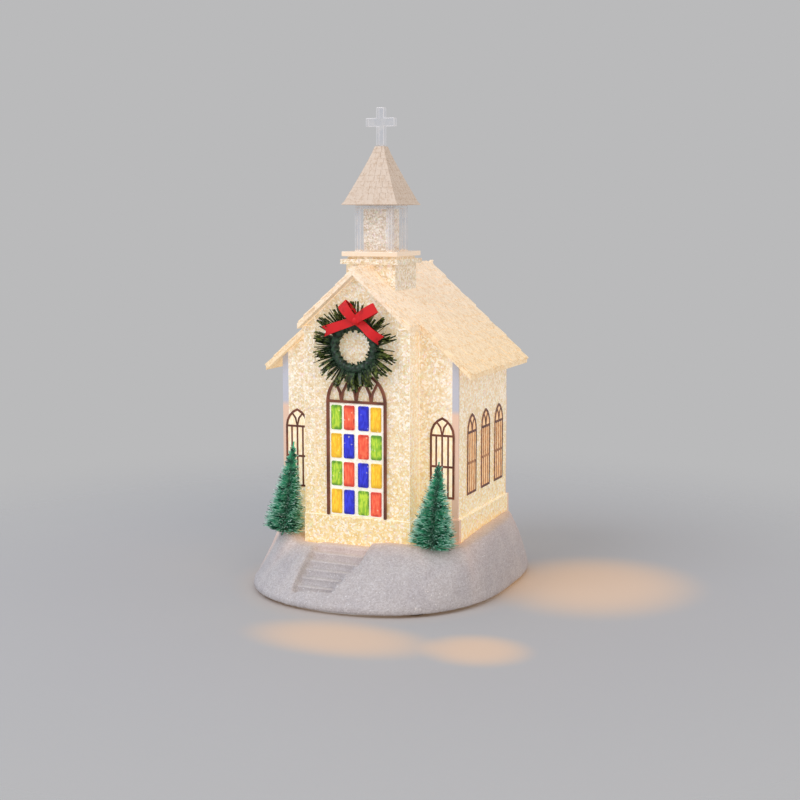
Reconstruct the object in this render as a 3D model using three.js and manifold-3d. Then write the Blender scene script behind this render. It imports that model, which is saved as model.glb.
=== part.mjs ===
// Lighted church figurine: a clear church full of glitter liquid on a hollow snow drift.
// Millimetres, +Z up, front towards -Y. The origin is the centre of the footprint on the table.
import * as THREE from "three";
import { mergeVertices } from "three/addons/utils/BufferGeometryUtils.js";
import Module from "manifold-3d";

const wasm = await Module();
wasm.setup();

// Clearance between pieces that rest on or in each other, and how far past a piece its cuts go on
const FIT = 0.3;
const CUT_PAST = 60;

// Base plate, its underside and feet
const PLATE_BOTTOM = 1.4;
const PLATE_THICKNESS = 2;
const FOOT_RADIUS = 6;
const FOOT_POCKET = 0.8;
const FOOT_INSET_FRONT = [31, 21.5];
const FOOT_INSET_BACK = [27, 31.5];

// Snow drift
const BASE_WIDTH = 142;
const BASE_DEPTH = 159;
// Squareness of each quarter of the footprint, from the back right round to the front right
const BASE_SQUARENESS = [3.45, 3.45, 2.3, 2.4];
const BASE_WALL = 2.4;
const BASE_EDGE_Z = 1.2;
const BASE_RIM = 3.3;
const SNOW_SIDES = 40;
const SNOW_RISES = 5;
// Crest of the drift every 30 degrees from +X: share of the half width, height over the ledge, fullness
const SNOW_CRESTS = [
  [0.87, 10.7, 0.6],
  [0.87, 11.5, 0.2],
  [0.88, 10.5, 0.35],
  [0.92, 10.5, 0.5],
  [0.92, 10, 0.5],
  [0.9, 9.5, 0.5],
  [0.9, 7.5, 0.35],
  [0.79, 5.9, -0.2],
  [0.68, 4.2, 0.3],
  [0.54, 6.5, 0.3],
  [0.63, 9, 0.35],
  [0.82, 7.4, 0.55],
];
const STEP_COUNT = 6;
const STEP_MARGIN = 8.3;
const STEP_LEFT = -23.9;
const STEP_RIGHT = 8.1;
const STEP_LANDING = 5;
const STEP_FOOT_Z = 6.6;
const STEP_DRIFT = 2.6;

// Power: three cells side by side, and the plate's compartment for them
const CELL_DIAMETER = 14.5;
const CELL_LENGTH = 50.5;
const CELL_COUNT = 3;
const CELL_PITCH = 15.2;
const CONTACT_ROOM = 3.8;
const CONTACT_THICKNESS = 0.6;
const TAB_REACH = 3.5;
const POWER_X = -2.4;
const POWER_Y = -13;
const COMPARTMENT_WALL = 1.5;
const SPRING_TURNS = 2.5;
const TONGUE_RADIUS = 4;

// Church plan and walls
const CHURCH_X = -2.4;
const NAVE_WIDTH = 105;
const NAVE_FRONT = -21.7;
const NAVE_LENGTH = 79;
const BAY_WIDTH = 60;
const BAY_REACH = 14.5;
const CHURCH_WALL = 3.2;
const LEDGE_THICKNESS = 2;
const LEDGE_WIDTH = 6;
const WALL_HEIGHT = 98.9;
const PLINTH_HEIGHT = 20.5;
const PLINTH_PROUD = 1.3;
const CORNER_POST = 8;
const BAY_POST = 5;
const PILASTER_WIDTH = 5.2;
const PILASTER_PROUD = 1;
const CAPITAL_HEIGHT = 3;

// Roofs
const ROOF_PITCH = 0.895;
const ROOF_SIDE_OVERHANG = 8.3;
const ROOF_FRONT_OVERHANG = 4;
const ROOF_BACK_OVERHANG = 11.3;
const ROOF_THICKNESS = 2.2;
const BAY_ROOF_SIDE_OVERHANG = 2.8;
const BAY_ROOF_FRONT_OVERHANG = 5.5;
const SHINGLE_STEP = 0.8;
const SHINGLE_RUN = 4.7;
const RIDGE_RADIUS = 1.6;

// Steeple
const STEEPLE_SETBACK = 17.9;
const NECK_WIDTH = 29;
const NECK_RISE = 2.7;
const NECK_WALL = 2.5;
const CORNICE_WIDTH = 34;
const CORNICE_SLAB = 2.6;
const CORNICE_GAP = 1.2;
const BELFRY_HEIGHT = 23.2;
const BELFRY_CORE_WIDTH = 15;
const BELFRY_CORE_WALL = 1.6;
const BELFRY_POST = 3.4;
const BELFRY_WIDTH = 22;
const BELFRY_TOP = 1.6;
const CAP_HEIGHT = 31.3;
const CAP_WIDTH = 32;
const CAP_TOP_WIDTH = 4.4;
const CAP_COURSES = 9;
const CAP_FLARE = 1.45;
const CROSS_HEIGHT = 20.8;
const CROSS_BAR = 4.6;
const CROSS_SPAN = 17;
const CROSS_THICKNESS = 3.6;
const CROSS_ARM_SHARE = 0.62;
const CROSS_PEG = 3;
const PEG_INSET = 1.2;

// Door and windows
const DOOR_WIDTH = 35;
const DOOR_HEIGHT = 62;
const DOOR_STRIP = 1.3;
const DOOR_LIGHTS = 4;
const TRACERY_DEPTH = 1.6;
const TRACERY_STRIP = 1;
const PANE_ROWS = 4;
const PANE_GAP = [1.2, 1.9];
const PANE_MARGIN = [1.5, 0.8];
const PANE_MIDDLE_GAP = 0.9;
const PANE_PROUD = 0.7;
const PANE_CORNER = 1.4;
const GLASS_THICKNESS = 0.8;
const WINDOW_WIDTH = 13.8;
const WINDOW_SILL = 31.6;
const WINDOW_SPRING = 34;
const WINDOW_RISE = 9.8;
const WINDOW_TRANSOM = 17.2;
const WINDOW_STRIP = 0.9;
const WINDOW_DEPTH = 0.5;
const MULLION_STRIP = 0.7;
const MULLION_OFFSET = 3.4;
const FRONT_WINDOW_X = 43.4;
const SIDE_WINDOW_FIRST = 19.9;
const SIDE_WINDOW_PITCH = 22;
const SIDE_WINDOW_COUNT = 3;

// Wreath and bow
const WREATH_Z = 134.8;
const WREATH_RADIUS = 12.6;
const WREATH_TUBE = 2.2;
const WREATH_REACH = 25;
const WREATH_HOLE = 8.6;
const WREATH_NEEDLES = 142;
const NEEDLE_WIDTH = 0.9;
const BOW_X = 3.2;
const BOW_RISE = 2.2;
const RIBBON_WIDTH = 4.3;
const RIBBON_THICKNESS = 0.7;
const BOW_LOOPS = [
  { length: 10.5, turn: 132 },
  { length: 12.5, turn: 31 },
];
const BOW_TAILS = [
  { length: 21, turn: 199 },
  { length: 18, turn: 324 },
];

// Trees: how far each stands beside and before the porch, its lean, and the brush's height and foot radius
const TREE_STEM = 1.1;
const TREE_PEG = 7;
const TREE_STRANDS = 125;
const TREE_LIFT = 0.45;
const TREE_FORMS = [
  { name: "tree_left", side: -1, beside: 15.7, before: 14.3, lean: 7.7, bare: 3.4, height: 51, foot: 11.2 },
  { name: "tree_right", side: 1, beside: 14, before: 17.3, lean: 5.3, bare: 1, height: 46.3, foot: 12.7 },
];
const SOCKET_RADIUS = 3.8;

// Screws
const SCREW_RADIUS = 1.3;
const SCREW_HEAD = 2.7;
const SCREW_HEAD_HEIGHT = 1;
const SCREW_LENGTH = 9;
const DOOR_SCREW_LENGTH = 3.6;
const REAR_BOSS_INSET = [17, 41.5];

// Motor, magnetic drive and chamber floor
const MOTOR_Y = 26;
const MOTOR_WIDTH = 20.1;
const MOTOR_DEPTH = 15.1;
const MOTOR_LENGTH = 23;
const MOTOR_BOSS = 3;
const MOTOR_BOSS_HEIGHT = 1.5;
const CLAMP_THICKNESS = 1.8;
const SHAFT_RADIUS = 1;
const HOLDER_RADIUS = 13;
const HOLDER_HEIGHT = 5.4;
const MAGNET_LENGTH = 20;
const MAGNET_WIDTH = 6;
const MAGNET_HEIGHT = 3;
const DRIVE_GAP = 0.8;
const FLOOR_THICKNESS = 2.5;
const FLOOR_SKIRT = 6;
const SKIRT_WALL = 2;
const SEAL_WIDTH = 2.6;
const SEAL_HEIGHT = 1.6;
const SEAL_STEP = 1;
const PIN_RADIUS = 1.2;
const PIN_HEIGHT = 11;
const IMPELLER_RADIUS = 15;
const IMPELLER_DISC = 4;
const IMPELLER_HUB = 4.5;
const VANE_COUNT = 5;
const VANE_HEIGHT = 8;
const VANE_THICKNESS = 1.4;
const PLUG_INSET = [22.5, 13.3];
const PLUG_RADIUS = 5;

// Light board and switch
const BOARD_LENGTH = 58;
const BOARD_WIDTH = 15;
const BOARD_THICKNESS = 1.6;
const BOARD_Y = -6;
const BOARD_STAND = 2.6;
const LED_RADIUS = 2.5;
const LED_HEIGHT = 8.6;
const LED_SPACING = 28;
const LED_COUNT = 2;
const SWITCH_X = 42;
const SWITCH_Y = -6;
const SWITCH_LENGTH = 18;
const SWITCH_WIDTH = 8;
const SWITCH_HEIGHT = 6;
const SWITCH_STEP = 2;
const KNOB_LENGTH = 3.6;
const KNOB_WIDTH = 3;
const LEAD_RADIUS = 0.7;
const LEAD_ROOM = 4.1;

// Heights and places worked out from the sizes above
const PLATE_TOP = PLATE_BOTTOM + PLATE_THICKNESS;
const CELL_Z = PLATE_TOP + CELL_DIAMETER / 2 - 0.1;
const COMPARTMENT_TOP = CELL_Z + CELL_DIAMETER / 2 + FIT;
const COMPARTMENT_ROOF = COMPARTMENT_TOP + COMPARTMENT_WALL;
const COMPARTMENT_HALF_X = CELL_LENGTH / 2 + CONTACT_ROOM;
const COMPARTMENT_HALF_Y = (CELL_PITCH * CELL_COUNT) / 2 + FIT;
const TONGUE_Y = POWER_Y - COMPARTMENT_HALF_Y - TONGUE_RADIUS + 1;
const TREES = TREE_FORMS.map((form) => {
  const x = CHURCH_X + form.side * (BAY_WIDTH / 2 + form.beside);
  return { ...form, x, y: NAVE_FRONT - form.before };
});
const LEDGE_Z = COMPARTMENT_ROOF + FIT + LEDGE_THICKNESS;
const EAVE_Z = LEDGE_Z + WALL_HEIGHT;
const BAY_FRONT = NAVE_FRONT - BAY_REACH;
const NAVE_BACK = NAVE_FRONT + NAVE_LENGTH;
const STEP_RUN = (BASE_DEPTH / 2 + BAY_FRONT - STEP_MARGIN) / (STEP_COUNT + 1);
const ROOF_HALF = NAVE_WIDTH / 2 + ROOF_SIDE_OVERHANG;
const RIDGE_Z = EAVE_Z + ROOF_PITCH * ROOF_HALF;
const PLINTH_TOP = LEDGE_Z + PLINTH_HEIGHT;
const STEEPLE_Y = NAVE_FRONT + STEEPLE_SETBACK;
const NECK_TOP = RIDGE_Z + NECK_RISE;
const CORNICE_Z = NECK_TOP + CORNICE_SLAB + CORNICE_GAP + FIT;
const BELFRY_Z = CORNICE_Z + CORNICE_SLAB;
const CAP_Z = BELFRY_Z + BELFRY_HEIGHT + BELFRY_TOP + FIT;
const CAP_TOP_Z = CAP_Z + CAP_HEIGHT;
const DOOR_Z = PLINTH_TOP + FIT;
const WINDOW_Z = LEDGE_Z + WINDOW_SILL;
const MOTOR_Z = PLATE_TOP + FIT;
const MOTOR_TOP = MOTOR_Z + MOTOR_LENGTH;
const CLAMP_Z = MOTOR_TOP + FIT;
const HOLDER_Z = MOTOR_TOP + MOTOR_BOSS_HEIGHT + CLAMP_THICKNESS;
const HOLDER_TOP = HOLDER_Z + HOLDER_HEIGHT;
const FLOOR_Z = HOLDER_TOP + DRIVE_GAP;
const FLOOR_TOP = FLOOR_Z + FLOOR_THICKNESS;
const SEAL_Z = FLOOR_TOP + FIT;
const STEP_Z = SEAL_Z + SEAL_HEIGHT + FIT;
const IMPELLER_Z = FLOOR_TOP + 0.8;
const BOARD_Z = COMPARTMENT_ROOF + BOARD_STAND;
const BOARD_TOP = BOARD_Z + BOARD_THICKNESS;
const MAX_Z = CAP_TOP_Z + CROSS_HEIGHT;
const PANE_PITCH = (DOOR_WIDTH - 2 * DOOR_STRIP - PANE_MIDDLE_GAP - PANE_MARGIN[0]) / DOOR_LIGHTS;
const PANE_ROW_PITCH = (DOOR_HEIGHT - PANE_MARGIN[1]) / PANE_ROWS;
const PANE_WIDTH = PANE_PITCH - PANE_GAP[0];
const PANE_HEIGHT = PANE_ROW_PITCH - PANE_GAP[1];
const PLUG_X = NAVE_WIDTH / 2 - PLUG_INSET[0];
const PLUG_Y = NAVE_BACK - PLUG_INSET[1];
const FOOT_PLACES = [
  ...fromCorners(FOOT_INSET_FRONT, -1),
  ...fromCorners(FOOT_INSET_BACK, 1),
];
const REAR_BOSSES = fromCorners(REAR_BOSS_INSET, 1);

const MATERIALS = {
  snow: finish(0xe6e4ea, 0.75, 0),
  clear: finish(0xf6efdf, 0.15, 0),
  roof: finish(0xf2dcb8, 0.6, 0),
  steeple: finish(0xf3ecdf, 0.35, 0),
  cap: finish(0xefe8e2, 0.7, 0),
  brown: finish(0x5a2f22, 0.5, 0),
  glass: finish(0xf0b23c, 0.25, 0),
  needle: finish(0x1f4a2c, 0.6, 0),
  ribbon: finish(0xc4222c, 0.45, 0),
  tree: finish(0x2a7a66, 0.7, 0),
  white: finish(0xe9e8e4, 0.5, 0),
  rubber: finish(0x3a2626, 0.85, 0),
  steel: finish(0xb9bcc0, 0.3, 1),
  cell: finish(0x2f3f55, 0.4, 0.3),
  board: finish(0x2d6a3f, 0.5, 0),
  lamp: finish(0xffe0a0, 0.2, 0),
  black: finish(0x1d1d1f, 0.5, 0),
  magnet: finish(0x6b6d70, 0.35, 0.9),
  red_lead: finish(0xa8201c, 0.5, 0),
};

// Left and right places at an inset from the front (-1) or back (1) corners of the footprint
function fromCorners([insetX, insetY], end) {
  const y = end * (BASE_DEPTH / 2 - insetY);
  return [-1, 1].map((side) => [side * (BASE_WIDTH / 2 - insetX), y]);
}

function finish(color, roughness, metalness) {
  return new THREE.MeshStandardMaterial({ color, roughness, metalness });
}

// A closed geometry, or a solid, as a solid that can be joined and cut
function solid(shape) {
  if (!shape.isBufferGeometry) return shape;
  const bare = new THREE.BufferGeometry();
  bare.setAttribute("position", shape.getAttribute("position"));
  bare.setIndex(shape.index);
  const merged = mergeVertices(bare, 1e-4);
  return new wasm.Manifold(
    new wasm.Mesh({
      numProp: 3,
      vertProperties: merged.attributes.position.array,
      triVerts: new Uint32Array(merged.index.array),
    }),
  );
}

const join = (...shapes) => wasm.Manifold.union(shapes.map(solid));
const cut = (shape, ...tools) => solid(shape).subtract(join(...tools));
const common = (a, b) => solid(a).intersect(solid(b));

// The largest body of a solid that a cut may have split
function mainBody(shape) {
  const bodies = shape.decompose();
  return bodies.reduce((a, b) => (b.volume() > a.volume() ? b : a));
}

function geometryOf(shape) {
  const cage = solid(shape).getMesh();
  const geometry = new THREE.BufferGeometry();
  const flat = new Float32Array(cage.vertProperties);
  geometry.setAttribute("position", new THREE.BufferAttribute(flat, cage.numProp));
  geometry.setIndex(new THREE.BufferAttribute(new Uint32Array(cage.triVerts), 1));
  geometry.computeVertexNormals();
  return geometry;
}

function piece(name, shape, material) {
  const mesh = new THREE.Mesh(geometryOf(shape), material);
  mesh.name = name;
  return mesh;
}

function block([x0, x1], [y0, y1], [z0, z1]) {
  const box = new THREE.BoxGeometry(x1 - x0, y1 - y0, z1 - z0);
  return box.translate((x0 + x1) / 2, (y0 + y1) / 2, (z0 + z1) / 2);
}

// A block by its half sizes round a point in plan
const centred = (x, y, halfX, halfY, z) => block([x - halfX, x + halfX], [y - halfY, y + halfY], z);

function disc(x, y, radius, [z0, z1], sides = 24, topRadius = radius) {
  const round = new THREE.CylinderGeometry(topRadius, radius, z1 - z0, sides);
  round.rotateX(Math.PI / 2);
  return round.translate(x, y, (z0 + z1) / 2);
}

function rodAlongX(y, z, radius, [x0, x1], sides = 16) {
  const rod = new THREE.CylinderGeometry(radius, radius, x1 - x0, sides);
  rod.rotateZ(Math.PI / 2);
  return rod.translate((x0 + x1) / 2, y, z);
}

function rodAlongY(x, z, radius, [y0, y1], sides = 12) {
  const rod = new THREE.CylinderGeometry(radius, radius, y1 - y0, sides);
  return rod.translate(x, (y0 + y1) / 2, z);
}

const polygon = (points) => new THREE.Shape(points.map(([x, y]) => new THREE.Vector2(x, y)));

// A plan outline raised from one height to another
function raised(shape, [z0, z1], curveSegments = 8) {
  const settings = { depth: z1 - z0, bevelEnabled: false, curveSegments };
  return new THREE.ExtrudeGeometry(shape, settings).translate(0, 0, z0);
}

// An outline drawn on a wall, x across and y up, standing out from it towards -Y
function onWall(shape, depth, curveSegments = 8) {
  const settings = { depth, bevelEnabled: false, curveSegments };
  return new THREE.ExtrudeGeometry(shape, settings).rotateX(Math.PI / 2);
}

// A closed skin through rings of points that go up, with a flat fan at each end
function skin(rings) {
  const sides = rings[0].length;
  const points = [...rings.flat(), middle(rings[0]), middle(rings.at(-1))];
  const index = [];
  const bottom = points.length - 2;
  const top = points.length - 1;
  const last = (rings.length - 1) * sides;
  for (let side = 0; side < sides; side++) {
    const next = (side + 1) % sides;
    index.push(bottom, next, side);
    index.push(top, last + side, last + next);
    for (let ring = 0; ring < last; ring += sides) {
      index.push(ring + side, ring + next, ring + sides + next);
      index.push(ring + side, ring + sides + next, ring + sides + side);
    }
  }
  const geometry = new THREE.BufferGeometry().setFromPoints(points);
  return geometry.setIndex(index);
}

function middle(ring) {
  const sum = ring.reduce((total, point) => total.add(point), new THREE.Vector3());
  return sum.divideScalar(ring.length);
}

// Snow drift

// The point of the footprint's outline at an angle, drawn in by a share and by an inset
function outlinePoint(angle, share, inset, z) {
  const quarter = Math.floor(angle / (Math.PI / 2)) % 4;
  const power = 2 / BASE_SQUARENESS[quarter];
  const cosine = Math.cos(angle);
  const sine = Math.sin(angle);
  const x = (Math.sign(cosine) * Math.abs(cosine) ** power * BASE_WIDTH) / 2;
  const y = (Math.sign(sine) * Math.abs(sine) ** power * BASE_DEPTH) / 2;
  const point = new THREE.Vector3(x * share, y * share, z);
  const length = Math.hypot(point.x, point.y);
  const kept = (length - inset) / length;
  return point.multiply(new THREE.Vector3(kept, kept, 1));
}

function ringAt(sides, share, inset, z) {
  const angles = Array.from({ length: sides }, (_, side) => (side * 2 * Math.PI) / sides);
  return angles.map((angle) => outlinePoint(angle, share, inset, z));
}

const snowSkin = () => drift(0, BASE_EDGE_Z, SNOW_SIDES, SNOW_RISES);
const footprint = (inset, z) => skin(z.map((height) => ringAt(SNOW_SIDES, 1, inset, height)));

// The outside of the drift, or its inside when drawn in by the wall
function drift(inset, bottom, sides, rises) {
  const controls = SNOW_CRESTS.map((crest) => new THREE.Vector3(...crest));
  const crests = new THREE.CatmullRomCurve3(controls, true);
  const rimTop = BASE_EDGE_Z + BASE_RIM;
  const ring = (height, share) =>
    Array.from({ length: sides }, (_, side) => {
      const crest = crests.getPoint(side / sides);
      const angle = (side * 2 * Math.PI) / sides;
      return outlinePoint(angle, share(crest), inset, height(crest));
    });
  const rings = [ring(() => bottom, () => 1)];
  for (let rise = 0; rise <= rises; rise++) {
    const t = rise / rises;
    const lean = 1 - Math.cos((t * Math.PI) / 2);
    const lift = Math.sin((t * Math.PI) / 2);
    const share = (crest) => 1 - (1 - crest.x) * (t + (lean - t) * crest.z);
    const top = (crest) => LEDGE_Z + crest.y - inset - rimTop;
    rings.push(ring((crest) => rimTop + top(crest) * (t + (lift - t) * crest.z), share));
  }
  for (const part of [0.7, 0.3]) {
    const height = (crest) => LEDGE_Z + 9 + (crest.y - 9) * part - inset;
    rings.push(ring(height, (crest) => crest.x * part));
  }
  return skin(rings);
}

// The church's plan, grown by a margin
function churchPlan(margin) {
  const nave = NAVE_WIDTH / 2 + margin;
  const bay = BAY_WIDTH / 2 + margin;
  const front = NAVE_FRONT - margin;
  const bayFront = BAY_FRONT - margin;
  const back = NAVE_BACK + margin;
  return polygon([
    [nave, front],
    [nave, back],
    [-nave, back],
    [-nave, front],
    [-bay, front],
    [-bay, bayFront],
    [bay, bayFront],
    [bay, front],
  ]);
}

const planAt = (margin, z) => raised(churchPlan(margin), z);

// One step's place: its tread's height, its front edge and its back edge
function stepPlace(step) {
  const landingZ = LEDGE_Z + STEP_LANDING;
  const rise = (landingZ - STEP_FOOT_Z) / STEP_COUNT;
  const back = BAY_FRONT - PLINTH_PROUD - FIT - step * STEP_RUN;
  const swept = STEP_DRIFT * Math.max(0, step - STEP_COUNT / 2);
  return { z: landingZ - rise * step, back, front: back - STEP_RUN, right: STEP_RIGHT - swept };
}

function stairs(outside) {
  const steps = Array.from({ length: STEP_COUNT + 1 }, (_, step) => stepPlace(step));
  const high = LEDGE_Z + CUT_PAST;
  const body = steps.map(({ z, back, front, right }) => {
    const across = [STEP_LEFT - BASE_WALL, right + BASE_WALL];
    return block(across, [front, back + BASE_WALL], [z - BASE_WALL, high]);
  });
  const room = steps.map(({ z, back, front, right }) => {
    return block([STEP_LEFT, right], [front, back], [z, high]);
  });
  return { body: common(join(...body), outside), room: join(...room) };
}

// Moves a shape made upright at the origin to where a tree stands, with the tree's lean
function atTree(shape, tree) {
  const lean = THREE.MathUtils.degToRad(tree.lean);
  return shape.rotateY(lean).translate(tree.x, tree.y, snowAt(tree) - FIT);
}

// Height of the snow where a tree stands, found by a thin probe through the drift
function snowAt({ x, y }) {
  const probe = centred(x, y, 0.2, 0.2, [0, MAX_Z]);
  return common(probe, snowSkin()).boundingBox().max[2];
}

function snowBase() {
  const outside = solid(snowSkin());
  const hollow = drift(BASE_WALL, BASE_EDGE_Z - 1, SNOW_SIDES / 2, SNOW_RISES - 1);
  const shell = outside.subtract(solid(hollow));
  const ledgeZ = [LEDGE_Z - LEDGE_THICKNESS, LEDGE_Z + CUT_PAST];
  const cup = common(planAt(PLINTH_PROUD + FIT + BASE_WALL, ledgeZ).translate(CHURCH_X, 0, 0), outside);
  const { body, room } = stairs(outside);
  const bossTop = LEDGE_Z + CUT_PAST;
  const bosses = [...TREES.map(({ x, y }) => [x, y]), ...REAR_BOSSES];
  const posts = bosses.map(([x, y]) => disc(x, y, SOCKET_RADIUS, [PLATE_TOP + FIT, bossTop], 16));
  const pilots = bosses.map(([x, y]) => {
    return disc(x, y, SCREW_RADIUS + FIT, [0, PLATE_BOTTOM + SCREW_LENGTH + 2], 8);
  });
  const sockets = TREES.map((tree) => {
    return atTree(disc(0, 0, TREE_STEM + FIT, [-TREE_PEG - FIT, 20], 8), tree);
  });
  const well = planAt(PLINTH_PROUD + FIT, [LEDGE_Z, LEDGE_Z + CUT_PAST]).translate(CHURCH_X, 0, 0);
  const way = planAt(-LEDGE_WIDTH, [0, LEDGE_Z + CUT_PAST]).translate(CHURCH_X, 0, 0);
  const rebate = footprint(BASE_WALL, [0, PLATE_TOP + FIT]);
  const grown = join(shell, cup, body, common(join(...posts), outside));
  return mainBody(cut(grown, well, way, room, rebate, ...pilots, ...sockets));
}

// Base plate, power and fasteners

const cellPlaces = Array.from({ length: CELL_COUNT }, (_, cell) => {
  return POWER_Y + (cell - (CELL_COUNT - 1) / 2) * CELL_PITCH;
});

const powerBox = (grow, z) =>
  centred(POWER_X, POWER_Y, COMPARTMENT_HALF_X + grow, COMPARTMENT_HALF_Y + grow, z);

// The battery door's panel and its screw tongue, also the plate's opening for them when grown
function doorBody(grow, z) {
  const panel = powerBox(grow - FIT, z);
  const reach = TONGUE_RADIUS + grow - FIT;
  const tongue = disc(POWER_X, TONGUE_Y, reach, z, 14);
  const root = block([POWER_X - reach, POWER_X + reach], [TONGUE_Y, POWER_Y], z);
  return join(panel, tongue, root);
}

const hookPlaces = [-1, 1].map((side) => POWER_X + side * COMPARTMENT_HALF_X * 0.55);

function basePlate() {
  const sheet = footprint(BASE_WALL + 2 * FIT, [PLATE_BOTTOM, PLATE_TOP]);
  const boxWalls = powerBox(COMPARTMENT_WALL, [PLATE_BOTTOM, COMPARTMENT_ROOF]);
  const boxRoom = powerBox(0, [0, COMPARTMENT_TOP]);
  const bossTop = PLATE_TOP + DOOR_SCREW_LENGTH + 2;
  const screwBoss = disc(POWER_X, TONGUE_Y, TONGUE_RADIUS + 2, [PLATE_TOP - 0.5, bossTop], 12);
  const screwWay = disc(POWER_X, TONGUE_Y, SCREW_RADIUS + 0.6, [0, bossTop - 0.8], 8);
  const opening = doorBody(FIT, [0, PLATE_TOP]);
  const hookSlots = hookPlaces.map((x) => {
    const back = POWER_Y + COMPARTMENT_HALF_Y;
    return block([x - 4, x + 4], [back - 1, back + 4], [PLATE_TOP, PLATE_TOP + 3]);
  });
  const tabSlots = [-1, 1].map((side) => {
    const end = POWER_X + side * COMPARTMENT_HALF_X;
    const y = side < 0 ? cellPlaces[0] : cellPlaces.at(-1);
    return centred(end, y, 4, 1.6 + FIT, [CELL_Z - 0.5 - FIT, CELL_Z + 0.5 + FIT]);
  });
  const bosses = [...TREES.map(({ x, y }) => [x, y]), ...REAR_BOSSES];
  const heads = bosses.map(([x, y]) => {
    return disc(x, y, SCREW_HEAD + FIT, [0, PLATE_BOTTOM + SCREW_HEAD_HEIGHT + FIT], 12);
  });
  const ways = bosses.map(([x, y]) => disc(x, y, SCREW_RADIUS + FIT, [0, PLATE_TOP + 1], 8));
  const pockets = FOOT_PLACES.map(([x, y]) => {
    return disc(x, y, FOOT_RADIUS + FIT, [0, PLATE_BOTTOM + FOOT_POCKET], 16);
  });
  const solidParts = [sheet, boxWalls, screwBoss, ...boardPosts(), ...motorMount(), ...switchRibs()];
  const holes = [boxRoom, screwWay, opening, ...hookSlots, ...tabSlots, ...heads, ...ways];
  return cut(join(...solidParts), ...holes, ...pockets, knobSlot());
}

// Posts that carry the light board, each with a heat-staked pin through it
function boardPosts() {
  return [-1, 1].flatMap((side) => {
    const x = POWER_X + side * (BOARD_LENGTH / 2 - 4);
    const post = disc(x, BOARD_Y, 2.5, [COMPARTMENT_ROOF - 0.5, BOARD_Z - FIT], 8);
    const pin = disc(x, BOARD_Y, 1, [COMPARTMENT_ROOF, BOARD_TOP + 0.8], 6);
    return [join(post, pin)];
  });
}

// A cup for the motor's foot and two posts with pins for the clamp above it
function motorMount() {
  const box = (grow, z) => {
    return centred(CHURCH_X, MOTOR_Y, MOTOR_WIDTH / 2 + grow, MOTOR_DEPTH / 2 + grow, z);
  };
  const cup = box(2, [PLATE_TOP - 1, MOTOR_Z + 6]);
  const room = box(FIT, [PLATE_TOP, MOTOR_Z + 7]);
  const posts = [-1, 1].map((side) => {
    const x = CHURCH_X + side * (MOTOR_WIDTH / 2 + 5);
    const post = disc(x, MOTOR_Y, 2.8, [PLATE_TOP - 1, CLAMP_Z - FIT], 8);
    const pin = disc(x, MOTOR_Y, 1.1, [PLATE_TOP, CLAMP_Z + CLAMP_THICKNESS + 0.8], 6);
    return join(post, pin);
  });
  return [cut(join(cup, ...posts), room)];
}

// Upright ribs round the switch
function switchRibs() {
  const outer = centred(SWITCH_X, SWITCH_Y, SWITCH_WIDTH / 2 + 1.8, SWITCH_LENGTH / 2 + 1.8, [
    PLATE_TOP - 1,
    PLATE_TOP + SWITCH_HEIGHT,
  ]);
  const inner = centred(SWITCH_X, SWITCH_Y, SWITCH_WIDTH / 2 + FIT, SWITCH_LENGTH / 2 + FIT, [
    PLATE_TOP,
    PLATE_TOP + SWITCH_HEIGHT + 1,
  ]);
  return [cut(outer, inner)];
}

// The slot that the knob slides in, with a finger recess under it
function knobSlot() {
  const travel = 2 * SWITCH_STEP;
  const slotHalf = (KNOB_LENGTH + travel) / 2 + FIT;
  const slot = centred(SWITCH_X, SWITCH_Y, KNOB_WIDTH / 2 + FIT, slotHalf, [0, PLATE_TOP + 1]);
  const recess = centred(SWITCH_X, SWITCH_Y, KNOB_WIDTH / 2 + 3, slotHalf + 3, [0, PLATE_BOTTOM + 0.9]);
  return join(slot, recess);
}

function batteryDoor() {
  const z = [PLATE_BOTTOM, PLATE_TOP - FIT - 0.1];
  const back = POWER_Y + COMPARTMENT_HALF_Y;
  const hooks = hookPlaces.map((x) => {
    const neck = block([x - 3, x + 3], [back - 2.4, back - FIT], [PLATE_BOTTOM + 0.8, PLATE_TOP + 1.5]);
    const nose = block([x - 3, x + 3], [back - 2.4, back + 1.6], [PLATE_TOP + FIT, PLATE_TOP + 1.5]);
    return join(neck, nose);
  });
  const grips = Array.from({ length: 5 }, (_, rib) => {
    const y = POWER_Y - COMPARTMENT_HALF_Y * 0.7 + rib * 2.4;
    return centred(POWER_X, y, 9, 0.5, [0, PLATE_BOTTOM + 0.5]);
  });
  const head = disc(POWER_X, TONGUE_Y, SCREW_HEAD + FIT, [0, PLATE_BOTTOM + SCREW_HEAD_HEIGHT], 12);
  const way = disc(POWER_X, TONGUE_Y, SCREW_RADIUS + FIT, [0, PLATE_TOP + 1], 8);
  return cut(join(doorBody(0, z), ...hooks), ...grips, head, way);
}

// A screw that points up from its head, made at its own axis
function screw(length) {
  const head = disc(0, 0, SCREW_HEAD, [0, SCREW_HEAD_HEIGHT - FIT], 12);
  const shank = disc(0, 0, SCREW_RADIUS, [0, length], 8);
  const slot = [0, 1].map((turn) => {
    const arm = centred(0, 0, 0.4, 1.6, [-1, 0.4]);
    return arm.rotateZ((turn * Math.PI) / 2);
  });
  return cut(join(head, shank), ...slot);
}

function cell() {
  const can = rodAlongX(0, 0, CELL_DIAMETER / 2, [-CELL_LENGTH / 2, CELL_LENGTH / 2 - 1.2], 16);
  const button = rodAlongX(0, 0, 2.7, [0, CELL_LENGTH / 2], 12);
  return join(can, button);
}

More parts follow.
